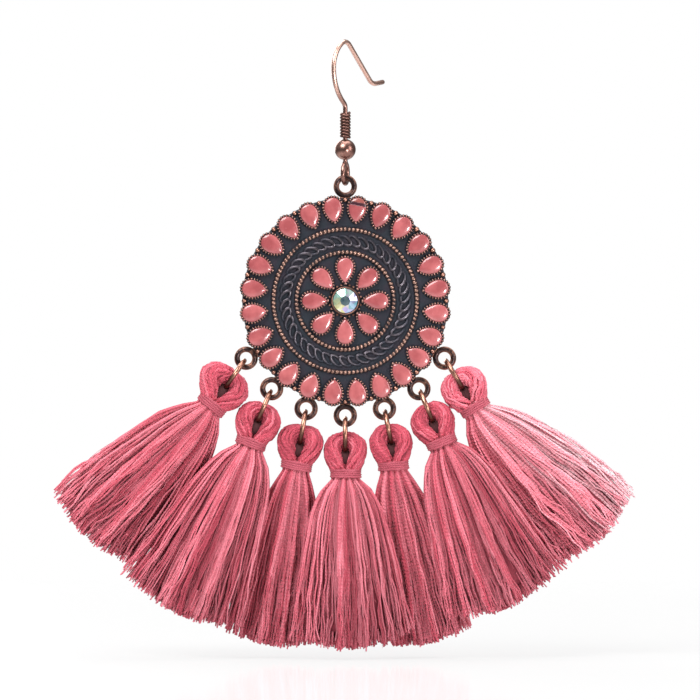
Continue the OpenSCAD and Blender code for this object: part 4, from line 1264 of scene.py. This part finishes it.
def makeTassel(number, one):
    place = foldPlace(one)
    skirt, fold = skirtForms(one, number), foldForms(one)
    loose = one["loose"]
    skirtForm = formMesh("skirtForm", *skirt, around=144, along=34, keep=0.985)
    skirtValues = {
        "Count": tassel["threadsNarrow" if one["wide"] < 0.8 else "threadsWide"], "Steps": 17, "Sides": 4,
        "Thickness": tassel["thread"] * mm, "Inner Share": 0.55, "First": 0.002, "Last": 0.999,
        "Uneven Ends": 0.045 * loose, "Wander": 0.06 * loose, "Waviness": 1.6 * loose * mm, "Calm Start": 0.08,
        "Locks": float(tassel["locks"]), "Clumping": 0.8, "Front Share": 0.5, "Taper": 0.35, "Pale": one["pale"],
        "Painted Lit Side": one["paleSide"], "Seed": number, "Material": roseYarn}
    skirtThreads = growMesh("skirtThreads", threadTree, skirtValues, skirtForm.copy())
    strayThreads = growMesh("strayThreads", threadTree, {
        **skirtValues, "Count": tassel["strays"], "Steps": 20, "Sides": 3, "Thickness": tassel["strayThread"] * mm,
        "Inner Share": 0.98, "First": 0.1, "Last": 1.0, "Waviness": 3.2 * mm, "Uneven Ends": 0.3, "Clumping": 0.0,
        "Seed": number + 40}, skirtForm)
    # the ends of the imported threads, seen from below
    hemThreads = growMesh("hemThreads", threadTree, {
        **skirtValues, "Count": tassel["hemThreads"], "Steps": 4, "Thickness": tassel["hemThread"] * mm,
        "Inner Share": 0.0, "First": 0.84, "Waviness": 0.6 * mm, "Seed": number + 60},
        formMesh("hemForm", *skirt, around=96, along=24, keep=0.66))
    foldThreads = growMesh("foldThreads", threadTree, {
        "Count": tassel["foldThreads"], "Steps": 30, "Sides": 5, "Thickness": tassel["foldThread"] * mm,
        "Inner Share": 0.88, "First": 0.001, "Last": 0.999, "Uneven Ends": 0.0, "Wander": 0.2 * loose,
        "Waviness": 0.6 * loose * mm, "Calm Start": 1.0, "Locks": 9.0, "Clumping": 0.6, "Front Share": 0.2,
        "Pale": one["pale"] - 0.5, "Twist": -0.32, "Seed": number + 20, "Material": roseYarn},
        formMesh("foldForm", *fold, around=40, along=44, keep=0.96))
    threads = joinMeshes(f"tassel_{number}_threads", [skirtThreads, strayThreads, hemThreads, foldThreads])
    finishPiece(f"tassel_{number}_threads", threads, "drop", [f"tassel_{number}"], roseYarn, place)

    # the packed core is painted dark as painted shade, and shows between the locks
    core = joinMeshes(f"tassel_{number}_core", [
        closedCopy("coreSkirt", formMesh("coreForm", *skirt, around=144, along=24, keep=0.66, last=0.9)),
        closedCopy("coreFold", formMesh("coreForm", *fold, around=28, along=32, keep=0.87))])
    finishPiece(f"tassel_{number}_core", core, "drop", [f"tassel_{number}"], shadedPackedYarn, place)

    wound = growMesh(f"neck_winding_{number}", windingTree, {
        "Radius": (tassel["neckRadius"] + tassel["wrapLift"]) * mm,
        "Height": (tassel["wrapLength"] - 2 * tassel["wrapThread"]) * mm, "Turns": tassel["wrapTurns"],
        "Thickness": tassel["wrapThread"] * mm, "Steps": 30, "Sides": 8, "Slack": 0.3 * mm, "Seed": number,
        "Material": neckYarn})
    foot = -tassel["neckDrop"] - tassel["wrapLength"] + tassel["wrapSink"]
    finishPiece(f"neck_winding_{number}", wound, "drop", [f"neck_wrap_{number}"], neckYarn,
                place @ Matrix.Translation((0, 0, foot * mm)))


def makeSlitShade(one):
    # a dark plug in the head's slit, under the ring: painted shade
    slit = grainMesh("slit", 1.0, 0.0)
    slit.transform(foldPlace(one) @ Matrix.Translation((0, 0, -tassel["slitDrop"] * mm))
                   @ Matrix.Diagonal((*tassel["slitHalves"], 1)))
    return slit


def makeJumpRing(one):
    # a ring with a thin cut, painted darker towards its foot as painted shade where it runs into the head
    path = []
    for i in range(jump["steps"] + 1):
        turn = math.radians(jump["cutAt"] + jump["cut"] / 2 + (360 - jump["cut"]) * i / jump["steps"])
        path.append(Vector((0, math.sin(turn), -math.cos(turn))) * jump["middle"] * mm)
    ring = sweepTube("jumpRing", path, jump["wire"] * mm, jump["sides"])
    dullAndShade = ring.attributes.new("dullAndShade", "FLOAT", "POINT")
    for vertex in ring.vertices:
        depth = -vertex.co.z / jump["middle"] / mm
        dullAndShade.data[vertex.index].value = min(max((depth - jump["dullFrom"]) / jump["dullOver"], 0), jump["dullMost"])
    ring.transform(ringPlace(one, ringReach))
    return ring


numbers = range(1, len(tassels) + 1)
finishPiece("joining_rings", joinMeshes("joining_rings", [makeJumpRing(one) for one in tassels]), "drop",
            [f"jump_ring_{i}" for i in numbers], ringCopper)
# painted shade: a dark plug fills the slit of each head
finishPiece("head_slit_shade", joinMeshes("head_slit_shade", [makeSlitShade(one) for one in tassels]), "drop",
            [f"tassel_{i}" for i in numbers], slitShadeYarn)
for number, one in zip(numbers, tassels):
    makeTassel(number, one)
    print("tassel", number, "made")
